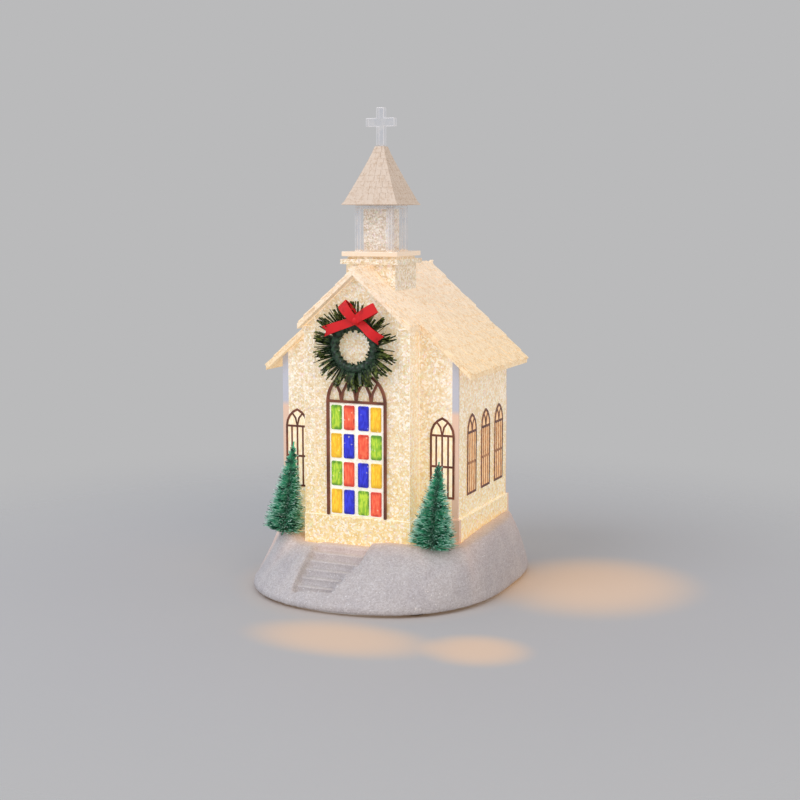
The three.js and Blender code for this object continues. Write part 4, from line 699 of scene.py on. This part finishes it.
def add_steps(bm):
    """Crisp treads laid over the remeshed ones, which the voxels have blurred."""
    for step in range(STEP_COUNT + 1):
        back = STEP_BACK - step * STEP_RUN
        right = STEP_RIGHT - STEP_CUT * max(0, step - STEP_COUNT // 2)
        left = STEP_LEFT + STEP_INSET
        top = STEP_TOP - step * STEP_RISE + STEP_LIFT
        size = (right - left, STEP_RUN + STEP_OVERLAP, STEP_DEPTH)
        middle = ((right + left) / 2, back + (STEP_OVERLAP - STEP_RUN) / 2, top - STEP_DEPTH / 2)
        edges = {e for v in block(bm, size, middle) for e in v.link_edges}
        bevel(bm, [e for e in edges if all(v.co.z > middle[2] for v in e.verts)], 0.7 * MM, 3)


def snow_drift():
    bm = remeshed(copy_of("snow_base"), SNOW_VOXEL)
    loose = [v for v in bm.verts if not on_stairs(v.co)]
    smooth(bm, loose)
    above = [v for v in bm.verts if v.co.y < STEP_BACK and v.co.z > BANK_FOOT]
    bank = [v for v in above if abs(v.co.x - STEP_LEFT + 1 * MM) < BANK_WIDTH]
    for _ in range(BANK_PASSES):
        smooth(bm, bank)
    bm.normal_update()
    moves = []
    for vert in bm.verts:
        if vert.normal.z < 0.05 or vert.co.z < RIM_Z:
            continue
        rough = noise_at(vert.co, *BROAD_NOISE) + noise_at(vert.co, *FINE_NOISE)
        ease = min(1.0, (vert.co.z - RIM_Z) / RIM_EASE) * (0.25 if on_stairs(vert.co) else 1.0)
        moves.append((vert, vert.normal * rough * ease, lift_at(vert.co.x, vert.co.y) * ease))
    for vert, move, lift in moves:
        vert.co += move
        vert.co.z += lift * max(0.0, vert.normal.z)
    add_steps(bm)
    print("snow faces:", len(bm.faces))
    return finished("snow_drift", bm, SNOW, instead_of=["snow_base"], sharp=80)


snow_drift()

# %% [markdown]
# The walls, steeple and cross keep their solids' shapes, with the sharp edges of moulded acrylic.

# %% Church shell and steeple
FLAT = 15
rounded("church_walls", "church_shell", WALLS, 0.45 * MM, sharp=FLAT)
rounded("steeple_neck", "steeple_tower", NECK, 0.3 * MM, sharp=FLAT)
rounded("belfry_core", "belfry_light", BELFRY, 0.3 * MM, sharp=FLAT)
rounded("belfry_frame", "belfry_posts", CLEAR, 0.35 * MM, sharp=FLAT)
rounded("cross", "clear_cross", CLEAR, 0.4 * MM, sharp=FLAT)

# %% [markdown]
# Both roofs are courses of frosted shingles that overlap downwards. A shingle is a thin tab with
# round lower corners. One tab is shaped, then laid hundreds of times with a little unevenness.

# %% Shingled roofs
RIDGE_Z = 175.2 * MM
ROOF_PITCH = 0.895
SLOPE = math.atan(ROOF_PITCH)
SHINGLE_LENGTH = 8.4 * MM
SHINGLE_WIDTH = 4.5 * MM
SHINGLE_THICKNESS = 0.75 * MM
SHINGLE_KICK = math.radians(2.5)
COURSE_RUN = 4.7 * MM
ROOF_HALVES = {"main_roof": 60.8 * MM, "bay_roof": 32.8 * MM}


def shingle(width, length, thickness):
    """A tab that lies on XY with its round end towards -Y and its top edge at the origin."""
    bm = bmesh.new()
    block(bm, (width, length, thickness), (0, -length / 2, thickness / 2))
    lower = [e for e in bm.edges if all(v.co.y < -length * 0.9 for v in e.verts)]
    uprights = [e for e in lower if abs(e.verts[0].co.z - e.verts[1].co.z) > thickness / 2]
    bevel(bm, uprights, width * 0.3)
    return as_mesh(bm, "shingle")


def lay(target, template, matrix):
    """Adds a copy of a template mesh to a growing one."""
    placed = template.copy()
    placed.transform(matrix)
    target.from_mesh(placed)
    bpy.data.meshes.remove(placed)


def shingle_roof(node, name):
    """The node's roof with a layer of shingles on both slopes."""
    low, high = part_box(node)
    half = ROOF_HALVES[node]
    bm = copy_of(node)
    tab = shingle(SHINGLE_WIDTH * 0.95, SHINGLE_LENGTH, SHINGLE_THICKNESS)
    courses = round(half / COURSE_RUN)
    across = max(2, round((high.y - low.y) / SHINGLE_WIDTH))
    pitch = (high.y - low.y) / across
    for side in (-1, 1):
        for course in range(courses):
            out = half * (course + 1) / courses
            shift = 0.5 if course % 2 else 0.0
            for at in range(across + course % 2):
                y = low.y + (at + 0.5 - shift) * pitch
                edge = random.uniform(0.22, 0.42) * pitch
                y = min(max(y, low.y + edge), high.y - edge)
                reach = out + random.uniform(-0.5, 0.7) * MM
                upper = reach - SHINGLE_LENGTH * math.cos(SLOPE)
                lift = random.uniform(0.1, 0.4) * MM
                z = RIDGE_Z - ROOF_PITCH * upper + lift
                place = Matrix.Translation((CHURCH_X + side * upper, y, z))
                turn = Matrix.Rotation(side * math.pi / 2, 4, "Z")
                tilt = Matrix.Rotation(SLOPE - SHINGLE_KICK, 4, "X")
                yaw = Matrix.Rotation(math.radians(random.uniform(-3, 3)), 4, "Z")
                lay(bm, tab, place @ turn @ tilt @ yaw)
    print(name, "faces:", len(bm.faces))
    return finished(name, bm, ROOF, instead_of=[node], sharp=30)


shingle_roof("main_roof", "nave_shingles")
shingle_roof("bay_roof", "porch_shingles")

# %% [markdown]
# The spire is a four-sided pyramid that flares at its foot.
# Its shingles taper with the courses, so the four sides meet cleanly along the hips.

# %% Spire cap
CAP_TOP = 5.2 * MM
CAP_FOOT = 32 * MM
CAP_FLARE = 1.1
CAP_COURSES = 10
CAP_TAB = 1.8 * MM
CAP_LIP = 0.2 * MM
CAP_TUCK = 0.05 * MM
CAP_JOINT = 0.06 * MM
CAP_SHINGLE = 3.6 * MM
QUARTERS = [Matrix.Rotation(side * math.pi / 2, 4, "Z") for side in range(4)]


def cap_tab(bm, ends, foot, head, matrix):
    """A shingle of the cap's front side. Its ends are shares of the half width."""
    left, right = ends

    def level(half, z, sunk):
        depth = half - sunk
        row = ((left * depth + CAP_JOINT, -depth, z), (right * depth - CAP_JOINT, -depth, z))
        return [bm.verts.new(matrix @ Vector(co)) for co in row]

    a, b = level(*foot, 0)
    c, d = level(*head, 0)
    e, f = level(*foot, CAP_TAB)
    g, h = level(*head, CAP_TAB)
    bm.faces.new((a, b, d, c))
    bm.faces.new((f, e, g, h))
    bm.faces.new((e, f, b, a))
    bm.faces.new((c, d, h, g))
    bm.faces.new((e, a, c, g))
    bm.faces.new((b, f, h, d))


def spire_cap():
    low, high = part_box("spire_cap")
    middle = (low + high) / 2
    bm = copy_of("spire_cap")

    def half(share):
        return (CAP_TOP + (CAP_FOOT - CAP_TOP) * (1 - share) ** CAP_FLARE) / 2

    def height(share):
        return low.z + (high.z - low.z) * share

    for course in range(CAP_COURSES):
        share, above = course / CAP_COURSES, (course + 1) / CAP_COURSES
        count = max(2, round(2 * half(share) / CAP_SHINGLE))
        edges = [-1 + 2 * (at - course % 2 / 2) / count for at in range(count + 1 + course % 2)]
        edges = [max(-1, min(1, u)) for u in edges]
        for quarter in QUARTERS:
            matrix = Matrix.Translation((middle.x, middle.y, 0)) @ quarter
            for ends in zip(edges, edges[1:]):
                foot = (half(share) + CAP_LIP, height(share) - random.uniform(0.1, 0.2) * MM)
                cap_tab(bm, ends, foot, (half(above) + CAP_TUCK, height(above)), matrix)
    return finished("spire_shingles", bm, CAP, instead_of=["spire_cap"], sharp=30)


spire_cap()

# %% [markdown]
# The door is a painted tracery frame over sixteen panes of glass paint in four plain colours.
# Each pane is a pillow: a block with round corners and a round front edge.

# %% Door
DOOR_FACE = -36.5 * MM
PANE_COLUMNS = [-PANE_OUTER, -PANE_INNER, PANE_INNER, PANE_OUTER]
PANE_CORNER = 0.9 * MM
PANE_ORDER = [
    "green red blue yellow",
    "yellow blue red green",
    "green red blue yellow",
    "yellow blue green red",
]
SHEET_MIDDLE = (CHURCH_X, DOOR_FACE - 0.4 * MM, 73.6 * MM)
SHEET_SIZE = (31.8 * MM, 0.8 * MM, 61.4 * MM)


def pillow(bm, middle, size, corner):
    """A block with round corners as seen from the front, and a soft front edge."""
    edges = {e for v in block(bm, size, middle) for e in v.link_edges}
    through = [e for e in edges if abs(e.verts[0].co.y - e.verts[1].co.y) > size[1] / 2]
    made = bevel(bm, through, corner, 4)
    verts = {v for f in made["faces"] for v in f.verts}
    front = middle[1] - size[1] / 2
    edges = {e for v in verts for e in v.link_edges}
    rim = [e for e in edges if all(abs(v.co.y - front) < 0.001 * MM for v in e.verts)]
    rim = [e for e in rim if any(abs(f.normal.y) < 0.5 for f in e.link_faces)]
    bm.normal_update()
    bevel(bm, rim, 0.4 * MM)


def door_panes():
    meshes = {kind: bmesh.new() for kind in PANE_FINISHES}
    for row, kinds in enumerate(PANE_ORDER):
        for x, kind in zip(PANE_COLUMNS, kinds.split()):
            uneven = random.uniform(-0.15, 0.15) * MM
            z = PANE_TOP - row * PANE_PITCH + uneven
            place = (CHURCH_X + x + uneven, DOOR_FACE - PANE_SIZE[1] / 2, z)
            pillow(meshes[kind], place, PANE_SIZE, PANE_CORNER)
    for kind, bm in meshes.items():
        finish = PANE_FINISHES[kind]
        finished(kind + "_door_panes", bm, finish, instead_of=["door_glass"])


def door_backing():
    """The pale sheet behind the panes, which shows between them."""
    bm = bmesh.new()
    pillow(bm, SHEET_MIDDLE, SHEET_SIZE, 0.3 * MM)
    glow = plain_glitter("door_glow", "f6f2d8", "fdf6e8", 0.4, "d9d2b0")
    finished("door_cames", bm, glow)


door_panes()
door_backing()
rounded("door_frame", "door_tracery", BROWN, 0.25 * MM)

# %% [markdown]
# The windows are the same painted frames over a sheet of tinted glass paint, amber on the sides.
# The glass is a flat outline with a pointed head, drawn once and thickened.

# %% Windows
PAINT_SHARE = 0.4
PAINT_SPREAD = 0.2 * MM
SIDE_SPREAD = 0.32 * MM
WINDOW_HALF = 6.5 * MM
WINDOW_FOOT = 53.8 * MM
WINDOW_SPRING = 87.5 * MM
WINDOW_RISE = 9.2 * MM
GLASS_THICKNESS = 0.27 * MM
GLASS_SUNK = 0.22 * MM
ARCH_STEPS = 6


def window_box(node):
    """The corners of a window's box, and whether the window is on a side wall."""
    low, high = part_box(node)
    return low, high, high.x - low.x < high.y - low.y


def lancet(thickness):
    """A sheet with a pointed head on the XZ plane, its back at Y = 0."""
    bm = bmesh.new()
    left = [(-WINDOW_HALF, WINDOW_FOOT), (-WINDOW_HALF, WINDOW_SPRING)]
    for step in range(1, ARCH_STEPS):
        turn = step / ARCH_STEPS
        x = -WINDOW_HALF * math.cos(turn * math.pi / 2)
        left.append((x, WINDOW_SPRING + WINDOW_RISE * turn**0.85))
    points = left + [(0, WINDOW_SPRING + WINDOW_RISE)] + [(-x, z) for x, z in reversed(left)]
    face = bm.faces.new([bm.verts.new((x, 0, z)) for x, z in points])
    grown = bmesh.ops.extrude_face_region(bm, geom=[face])["geom"]
    moved = [v for v in grown if isinstance(v, bmesh.types.BMVert)]
    bmesh.ops.translate(bm, vec=(0, -thickness, 0), verts=moved)
    bmesh.ops.recalc_face_normals(bm, faces=bm.faces)
    return bm


def window_frame(node):
    """The frame is paint: the solid's outline, spread a little and only a thin film on the wall."""
    bm = copy_of(node)
    low, high, sideways = window_box(node)
    if sideways:
        wall = low.x if low.x > CHURCH_X else high.x
        scale, fixed = (PAINT_SHARE, 1, 1), (wall, 0, 0)
    else:
        scale, fixed = (1, PAINT_SHARE, 1), (0, high.y, 0)
    bm.normal_update()
    for vert in bm.verts:
        flat = vert.normal.copy()
        flat[0 if sideways else 1] = 0
        if flat.length > 0.2:
            vert.co += flat.normalized() * (SIDE_SPREAD if sideways else PAINT_SPREAD)
    bmesh.ops.scale(bm, vec=scale, verts=bm.verts, space=Matrix.Translation(Vector(fixed) * -1))
    paint = SIDE_PAINT if sideways else BROWN
    name = node.replace("window", "window_frame")
    return finished(name, bm, paint, instead_of=[node])


def glaze(node):
    """Sets a sheet of glass behind a window's frame, flat on the wall: amber on the sides."""
    low, high, sideways = window_box(node)
    middle = (low + high) / 2
    bm = lancet(GLASS_THICKNESS)
    if sideways:
        side = 1 if middle.x > CHURCH_X else -1
        wall = low.x if side > 0 else high.x
        place = (wall - side * GLASS_SUNK, middle.y, 0)
        turn = Matrix.Translation(place) @ Matrix.Rotation(side * math.pi / 2, 4, "Z")
    else:
        turn = Matrix.Translation((middle.x, high.y + GLASS_SUNK, 0))
    bmesh.ops.transform(bm, matrix=turn, verts=bm.verts)
    material = AMBER if sideways else CREAM_GLASS
    return finished(node.replace("window", "window_glass"), bm, material)


for node in sorted(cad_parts):
    if "window" in node:
        window_frame(node)
        glaze(node)

# %% [markdown]
# The wreath is tinsel: flat strips of green foil caught in a twisted wire ring. The needles fan out
# and forward, and the ring shows as a cord inside them. Each strip is a thin closed blade.

# %% Wreath
WREATH_MIDDLE = Vector((WREATH_X, -39.4 * MM, WREATH_Z))
RING_RADIUS = 11.6 * MM
RING_TUBE = 2.5 * MM
CORD_STRANDS = 3
CORD_TWIST = 22
CORD_GROOVE = 0.13
NEEDLE_COUNT = 400
NEEDLE_WIDTH = 1.75 * MM
NEEDLE_THICKNESS = 0.16 * MM
TUFTS = 14


def turned_to(aim):
    """The turn that brings the Z axis to an aim."""
    return aim.to_track_quat("Z", "Y").to_matrix().to_4x4()


def blade(width, thickness):
    """A strip along Z of unit length, a little narrower at its tip."""
    bm = bmesh.new()
    tip = [v for v in block(bm, (width, thickness, 1), (0, 0, 0.5)) if v.co.z > 0.5]
    bmesh.ops.scale(bm, vec=(0.7, 1, 1), verts=tip)
    return as_mesh(bm, "blade")


def wreath_cord(bm):
    """The twisted ring: a round section spun once, then grooved like a cord."""
    section = bmesh.ops.create_circle(bm, segments=14, radius=RING_TUBE)["verts"]
    bmesh.ops.rotate(bm, verts=section, matrix=Matrix.Rotation(math.pi / 2, 3, "X"))
    bmesh.ops.translate(bm, verts=section, vec=(RING_RADIUS, 0, 0))
    turn = {"cent": (0, 0, 0), "axis": (0, 0, 1), "angle": 2 * math.pi}
    bmesh.ops.spin(bm, geom=section + bm.edges[:], steps=96, use_merge=True, **turn)
    for v in bm.verts:
        around = math.atan2(v.co.y, v.co.x)
        spoke = Vector((math.cos(around), math.sin(around), 0)) * RING_RADIUS
        section_angle = math.atan2(v.co.z, v.co.xy.length - RING_RADIUS)
        strand = math.cos(CORD_STRANDS * section_angle + CORD_TWIST * around)
        v.co = spoke + (v.co - spoke) * (1 + CORD_GROOVE * strand)
    bmesh.ops.recalc_face_normals(bm, faces=bm.faces)
    bmesh.ops.rotate(bm, verts=bm.verts, matrix=Matrix.Rotation(math.pi / 2, 3, "X"))


def wreath():
    bm = bmesh.new()
    wreath_cord(bm)
    strip = blade(NEEDLE_WIDTH, NEEDLE_THICKNESS)
    ahead = Vector((0, -1, 0))
    for at in range(NEEDLE_COUNT):
        around = at * GOLDEN_TURN
        inward = at % 13 == 0
        forward = random.uniform(0.0, 1.0) ** 1.3
        radial = Vector((math.cos(around), 0, math.sin(around)))
        aim = (radial * (-0.75 if inward else 1.0) + ahead * forward * 0.8).normalized()
        tuft = 0.3 * math.sin(around * TUFTS)
        aim += Vector((-math.sin(around), 0, math.cos(around))) * tuft
        aim += Vector([random.uniform(-0.12, 0.12) for _ in range(3)])
        aim.y = min(aim.y, 0.0)
        aim.normalize()
        if inward:
            reach = random.uniform(3.0, 4.2) * MM
        else:
            reach = (random.uniform(10.8, 14.2) - 4.2 * forward) * MM
        twist = Matrix.Rotation(random.uniform(-0.7, 0.7), 4, "Z")
        place = Matrix.Translation(radial * RING_RADIUS) @ turned_to(aim)
        lay(bm, strip, place @ twist @ Matrix.Diagonal((1, 1, reach, 1)))
    bmesh.ops.translate(bm, verts=bm.verts, vec=WREATH_MIDDLE)
    return finished("tinsel_wreath", bm, NEEDLES, instead_of=["wreath"])


wreath()

# %% [markdown]
# The bow is one satin ribbon: two loops, two tails and a knot. A ribbon is an edge that is swept
# along a path by extruding it, step by step, and thickened afterwards.

# %% Bow
KNOT = Vector((0.8, -44.5, 149.6)) * MM
KNOT_RADIUS = 2.6 * MM
RIBBON_WIDTH = 5.3 * MM
RIBBON_THICKNESS = 0.6 * MM
LOOP_STEPS = 18
LOOP_DEPTH = 2.1 * MM
TAIL_STEPS = 10
TAIL_WAVE = 0.9 * MM
TAIL_SUNK = 0.4 * MM
TAIL_NOTCH = 2.2 * MM


def ribbon(bm, path, widths):
    """Sweeps an edge along a path that is drawn with x outwards and y in depth."""
    first = [bm.verts.new((path[0][0], path[0][1], side * widths[0] / 2)) for side in (-1, 1)]
    edge = bm.edges.new(first)
    for (x, y), width in zip(path[1:], widths[1:]):
        made = bmesh.ops.extrude_edge_only(bm, edges=[edge])["geom"]
        ends = sorted((g for g in made if isinstance(g, bmesh.types.BMVert)), key=lambda v: v.co.z)
        edge = next(g for g in made if isinstance(g, bmesh.types.BMEdge))
        for vert, side in zip(ends, (-1, 1)):
            vert.co = (x, y, side * width / 2)
    return edge


def bow_loop(length):
    path = []
    for step in range(LOOP_STEPS + 1):
        turn = 2 * math.pi * step / LOOP_STEPS - math.pi
        path.append((length / 2 * (1 + math.cos(turn)), -LOOP_DEPTH * math.sin(turn)))
    widths = [RIBBON_WIDTH * (0.75 + 0.3 * min(1.0, p[0] / length * 1.6)) for p in path]
    bm = bmesh.new()
    ribbon(bm, path, widths)
    return bm


def bow_tail(length):
    path = []
    for step in range(TAIL_STEPS + 1):
        path.append((length * step / TAIL_STEPS, TAIL_WAVE * math.sin(step * 0.75) - TAIL_SUNK))
    widths = [RIBBON_WIDTH * (0.8 + 0.25 * s / TAIL_STEPS) for s in range(TAIL_STEPS + 1)]
    bm = bmesh.new()
    last = ribbon(bm, path, widths)
    cut = bmesh.ops.subdivide_edges(bm, edges=[last], cuts=1)["geom_inner"]
    notch = [v for v in cut if isinstance(v, bmesh.types.BMVert)]
    bmesh.ops.translate(bm, verts=notch, vec=(-TAIL_NOTCH, 0, 0))
    return bm


def bow():
    bm = bmesh.new()
    # Each part with the way it points, in degrees from the right
    parts = [
        (bow_loop(11.2 * MM), 132),
        (bow_loop(12.8 * MM), 31),
        (bow_tail(20.6 * MM), 199),
        (bow_tail(17.8 * MM), 324),
    ]
    for part, degrees in parts:
        lay(bm, as_mesh(part, "ribbon"), Matrix.Rotation(-math.radians(degrees), 4, "Y"))
    bmesh.ops.solidify(bm, geom=bm.faces[:], thickness=RIBBON_THICKNESS)
    ball = bmesh.ops.create_uvsphere(bm, u_segments=16, v_segments=10, radius=KNOT_RADIUS)
    bmesh.ops.scale(bm, verts=ball["verts"], vec=(0.95, 0.85, 1.05))
    bmesh.ops.translate(bm, verts=bm.verts, vec=KNOT)
    return finished("ribbon_bow", bm, RIBBON, instead_of=["bow"], sharp=60)


bow()

# %% [markdown]
# The trees are bottle brushes: bristles caught between two twisted wires, trimmed to a cone and
# frosted at the tips. A bristle is a thin three-sided spike. Its length follows the wire's turns.

# %% Trees
BRISTLES = 4000
RIPPLE_PITCH = 3.2 * MM
WIRE_SUNK = 7 * MM
# Sizes in mm, with the lean in degrees: bare is the wire below the brush, foot its lowest radius
TREES = {
    "tree_left": {"root": (-48.1, -36), "lean": 7.7, "bare": 3.4, "height": 51, "foot": 11.6},
    "tree_right": {"root": (41.6, -39), "lean": 5.3, "bare": 1.0, "height": 46.3, "foot": 13.0},
}


def bristle_finish(name, root, lean, bare, height, foot, base_z):
    """Teal bristles that pale towards the outside of the brush."""
    f = Finish(name)
    x, y, z = f.axes()
    up = (z - base_z) * (1 / math.cos(lean))
    across = x - root[0] - (z - base_z) * math.tan(lean)
    deep = y - root[1]
    away = (across * across + deep * deep).maths("SQRT")
    share = 1 - (up - bare) / height
    edge = share.most(0.02) * foot + 1.2 * MM
    frost = (away / edge).ramp(0.55, 1.0)
    streak = f.cloud(3.0 * MM, 2)
    # Painted light: bristles near the glowing walls are painted yellow-green, and the dark teal
    # streaks are painted shade among the bristles.
    lit = f.mix("48cc9c", "c8cf58", church_gap(f).ramp(9 * MM, 0.0))
    inner = f.mix("063329", lit, streak.ramp(0.3, 0.58))
    tone = f.mix(inner, "d6f4ea", frost * streak.ramp(0.4, 0.56) * 0.9)
    return f.all_over(Base_Color=tone, Roughness=0.55, Sheen_Weight=0.2)


def spike():
    bm = bmesh.new()
    bmesh.ops.create_cone(bm, cap_ends=True, segments=3, radius1=0.5, radius2=0.22, depth=1)
    bmesh.ops.translate(bm, vec=(0, 0, 0.5), verts=bm.verts)
    return as_mesh(bm, "spike")


def brush(node):
    size = TREES[node]
    low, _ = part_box(node)
    lean = math.radians(size["lean"])
    stem = Vector((math.sin(lean), 0, math.cos(lean)))
    base_z = low.z + WIRE_SUNK
    root = Vector((size["root"][0] * MM, size["root"][1] * MM, base_z))
    bare, height, foot = size["bare"] * MM, size["height"] * MM, size["foot"] * MM
    bm = bmesh.new()
    sizes = {"radius1": 1.0 * MM, "radius2": 0.4 * MM, "depth": height + bare + 6 * MM}
    wire = bmesh.ops.create_cone(bm, cap_ends=True, segments=8, **sizes)["verts"]
    bmesh.ops.translate(bm, verts=wire, vec=(0, 0, (height + bare - 6 * MM) / 2))
    bmesh.ops.rotate(bm, verts=wire, matrix=Matrix.Rotation(lean, 3, "Y"))
    bmesh.ops.translate(bm, verts=wire, vec=root)
    thorn = spike()
    for at in range(BRISTLES):
        share = 1 - math.sqrt(1 - (at + 0.5) / BRISTLES * 0.995)
        around = at * GOLDEN_TURN
        ripple = 0.77 + 0.23 * math.sin(share * height / RIPPLE_PITCH * 2 * math.pi + around)
        reach = (foot * (1 - share) + 1.6 * MM) * ripple * random.uniform(0.82, 1.05)
        lift = math.radians(random.uniform(2, 24) + 40 * share**6)
        level = math.cos(lift)
        aim = Vector((math.cos(around) * level, math.sin(around) * level, math.sin(lift)))
        aim.rotate(Matrix.Rotation(lean, 3, "Y"))
        thick = random.uniform(0.48, 0.7) * MM
        place = Matrix.Translation(root + stem * (bare + share * height)) @ turned_to(aim)
        lay(bm, thorn, place @ Matrix.Diagonal((thick, thick, reach, 1)))
    finish = bristle_finish(node + "_bristles", root, lean, bare, height, foot, base_z)
    return finished(node + "_brush", bm, finish, instead_of=[node], sharp=50)


for node in TREES:
    brush(node)

# %% [markdown]
# Under the drift are the working parts: plate, battery door, switch, cells, lamps, motor, stirrer.
# They keep their solids' shapes. The ones that a hand meets have rounded edges.

# %% Working parts
rounded("base_plate", "plate_moulding", WHITE, 0.25 * MM)
rounded("battery_door", "battery_hatch_moulding", WHITE, 0.3 * MM, "battery_hatch")
rounded("door_screw", "hatch_screw_head", STEEL, 0.15 * MM, "hatch_screw")
rounded("switch_knob", "switch_button", BLACK, 0.25 * MM, "switch_slider")
rounded("switch_body", "switch_case", BLACK, 0.25 * MM)
for number in range(1, 5):
    rounded(f"foot_{number}", f"rubber_foot_{number}", RUBBER, 0.5 * MM)
    rounded(f"plate_screw_{number}", f"plate_screw_head_{number}", STEEL, 0.15 * MM)
for number in range(1, 4):
    rounded(f"cell_{number}", f"wrapped_cell_{number}", WRAP, 0.4 * MM)

KEPT = [
    (STEEL, "contact_negative contact_positive contact_bridge_1 contact_bridge_2"),
    (STEEL, "motor_can motor_shaft"),
    (BOARD, "circuit_board"),
    (LAMP, "led_1 led_2"),
    (RED_LEAD, "positive_lead motor_lead"),
    (BLACK_LEAD, "negative_lead switch_lead"),
    (WHITE, "motor_clamp magnet_holder"),
    (MAGNET, "drive_magnet impeller_magnet"),
    (CLEAR, "impeller chamber_floor"),
    (RUBBER, "floor_seal filler_plug"),
]
for material, nodes in KEPT:
    for node in nodes.split():
        repaint(node, material)

# %% [markdown]
# The studio is a pale floor that fades into an even grey room, a big soft lamp on the left, and a
# weaker one on the right. The camera sees one grey, and the light of the room is another.

# %% Studio
ROOM = "bababb"
ROOM_LIGHT = 0.75
LAMP_AIM = Vector((0, 0, 0.1))
FLOOR_RADIUS = 1.2
FLOOR_FADE = (0.13, 0.46)
FLOOR_HOLE = (67 * MM, 75 * MM)
# The middle and the reach of each pool in mm, and its strength
WARM_POOLS = [
    ((23, -113), (57, 32), 0.75),
    ((91, -104), (31, 28), 0.8),
    ((112, 30), (66, 74), 0.8),
    ((0, 0), (90, 99), 0.8),
]


def floor():
    """A matt sheet with the lamps' warm pools on it. It fades into the room.

    It is clear from below, and a hole that the base hides lets the room's light reach the plate.
    """
    f = Finish("pale_floor")
    x, y, _ = f.axes()
    pools = 0.0
    for (at_x, at_y), (reach_x, reach_y), strength in WARM_POOLS:
        off_x = (x - at_x * MM) / (reach_x * MM)
        off_y = (y - at_y * MM) / (reach_y * MM)
        pools = pools + (off_x * off_x + off_y * off_y).ramp(1.0, 0.0) * strength
    away = (x * x + y * y).maths("SQRT")
    tone = f.mix("b7b7b8", "bbbbbb", f.cloud(0.2, 3))
    matt = f.surface(
        Base_Color=f.mix(tone, "cdb49a", pools * 0.55),
        Roughness=0.7,
        Emission_Color=f.mix("000000", "ffb860", pools),
        Emission_Strength=0.24,
    )
    open_air = f.node("ShaderNodeBsdfTransparent")
    from_below = f.node("ShaderNodeNewGeometry", out="Backfacing")
    off_x, off_y = x / FLOOR_HOLE[0], y / FLOOR_HOLE[1]
    hole = (off_x * off_x + off_y * off_y) < 1
    material = f.done(f.blend(matt, open_air, away.ramp(*FLOOR_FADE).most(from_below).most(hole)))
    bm = bmesh.new()
    bmesh.ops.create_circle(bm, cap_ends=True, segments=64, radius=FLOOR_RADIUS)
    mesh = as_mesh(bm, "floor")
    mesh.materials.append(material)
    sheet = shown("floor", mesh)


class Room(Finish):
    """The space behind and around everything, built with the same node method."""

    def __init__(self, name):
        world = bpy.data.worlds.new(name)
        world.use_nodes = True
        bpy.context.scene.world = world
        self.tree = world.node_tree
        self.tree.nodes.clear()


def room():
    f = Room("room")
    kinds = ("Is Camera Ray", "Is Glossy Ray", "Is Transmission Ray")
    camera_ray, glossy, through = (f.node("ShaderNodeLightPath", out=kind) for kind in kinds)
    light = f.node("ShaderNodeBackground", {}, {"Color": "eceef5", "Strength": ROOM_LIGHT})
    grey = f.node("ShaderNodeBackground", {}, {"Color": ROOM})
    seen = camera_ray.most(glossy).most(through)
    f.node("ShaderNodeOutputWorld", {}, {"Surface": f.blend(light, grey, seen)}, None)


def lamp(name, place, size, watts, code):
    light = bpy.data.lights.new(name, "AREA")
    light.shape = "DISK"
    light.size = size
    light.energy = watts
    light.color = colour(code)[:3]
    aim = (LAMP_AIM - Vector(place)).to_track_quat("-Z", "Y")
    shown(name, light).matrix_world = Matrix.Translation(place) @ aim.to_matrix().to_4x4()


floor()
room()
lamp("key_lamp", (-0.75, -1.15, 1.3), 1.3, 12.5, "eef3ff")
lamp("fill_lamp", (1.2, -1.0, 0.9), 1.2, 6, "ffdfbe")
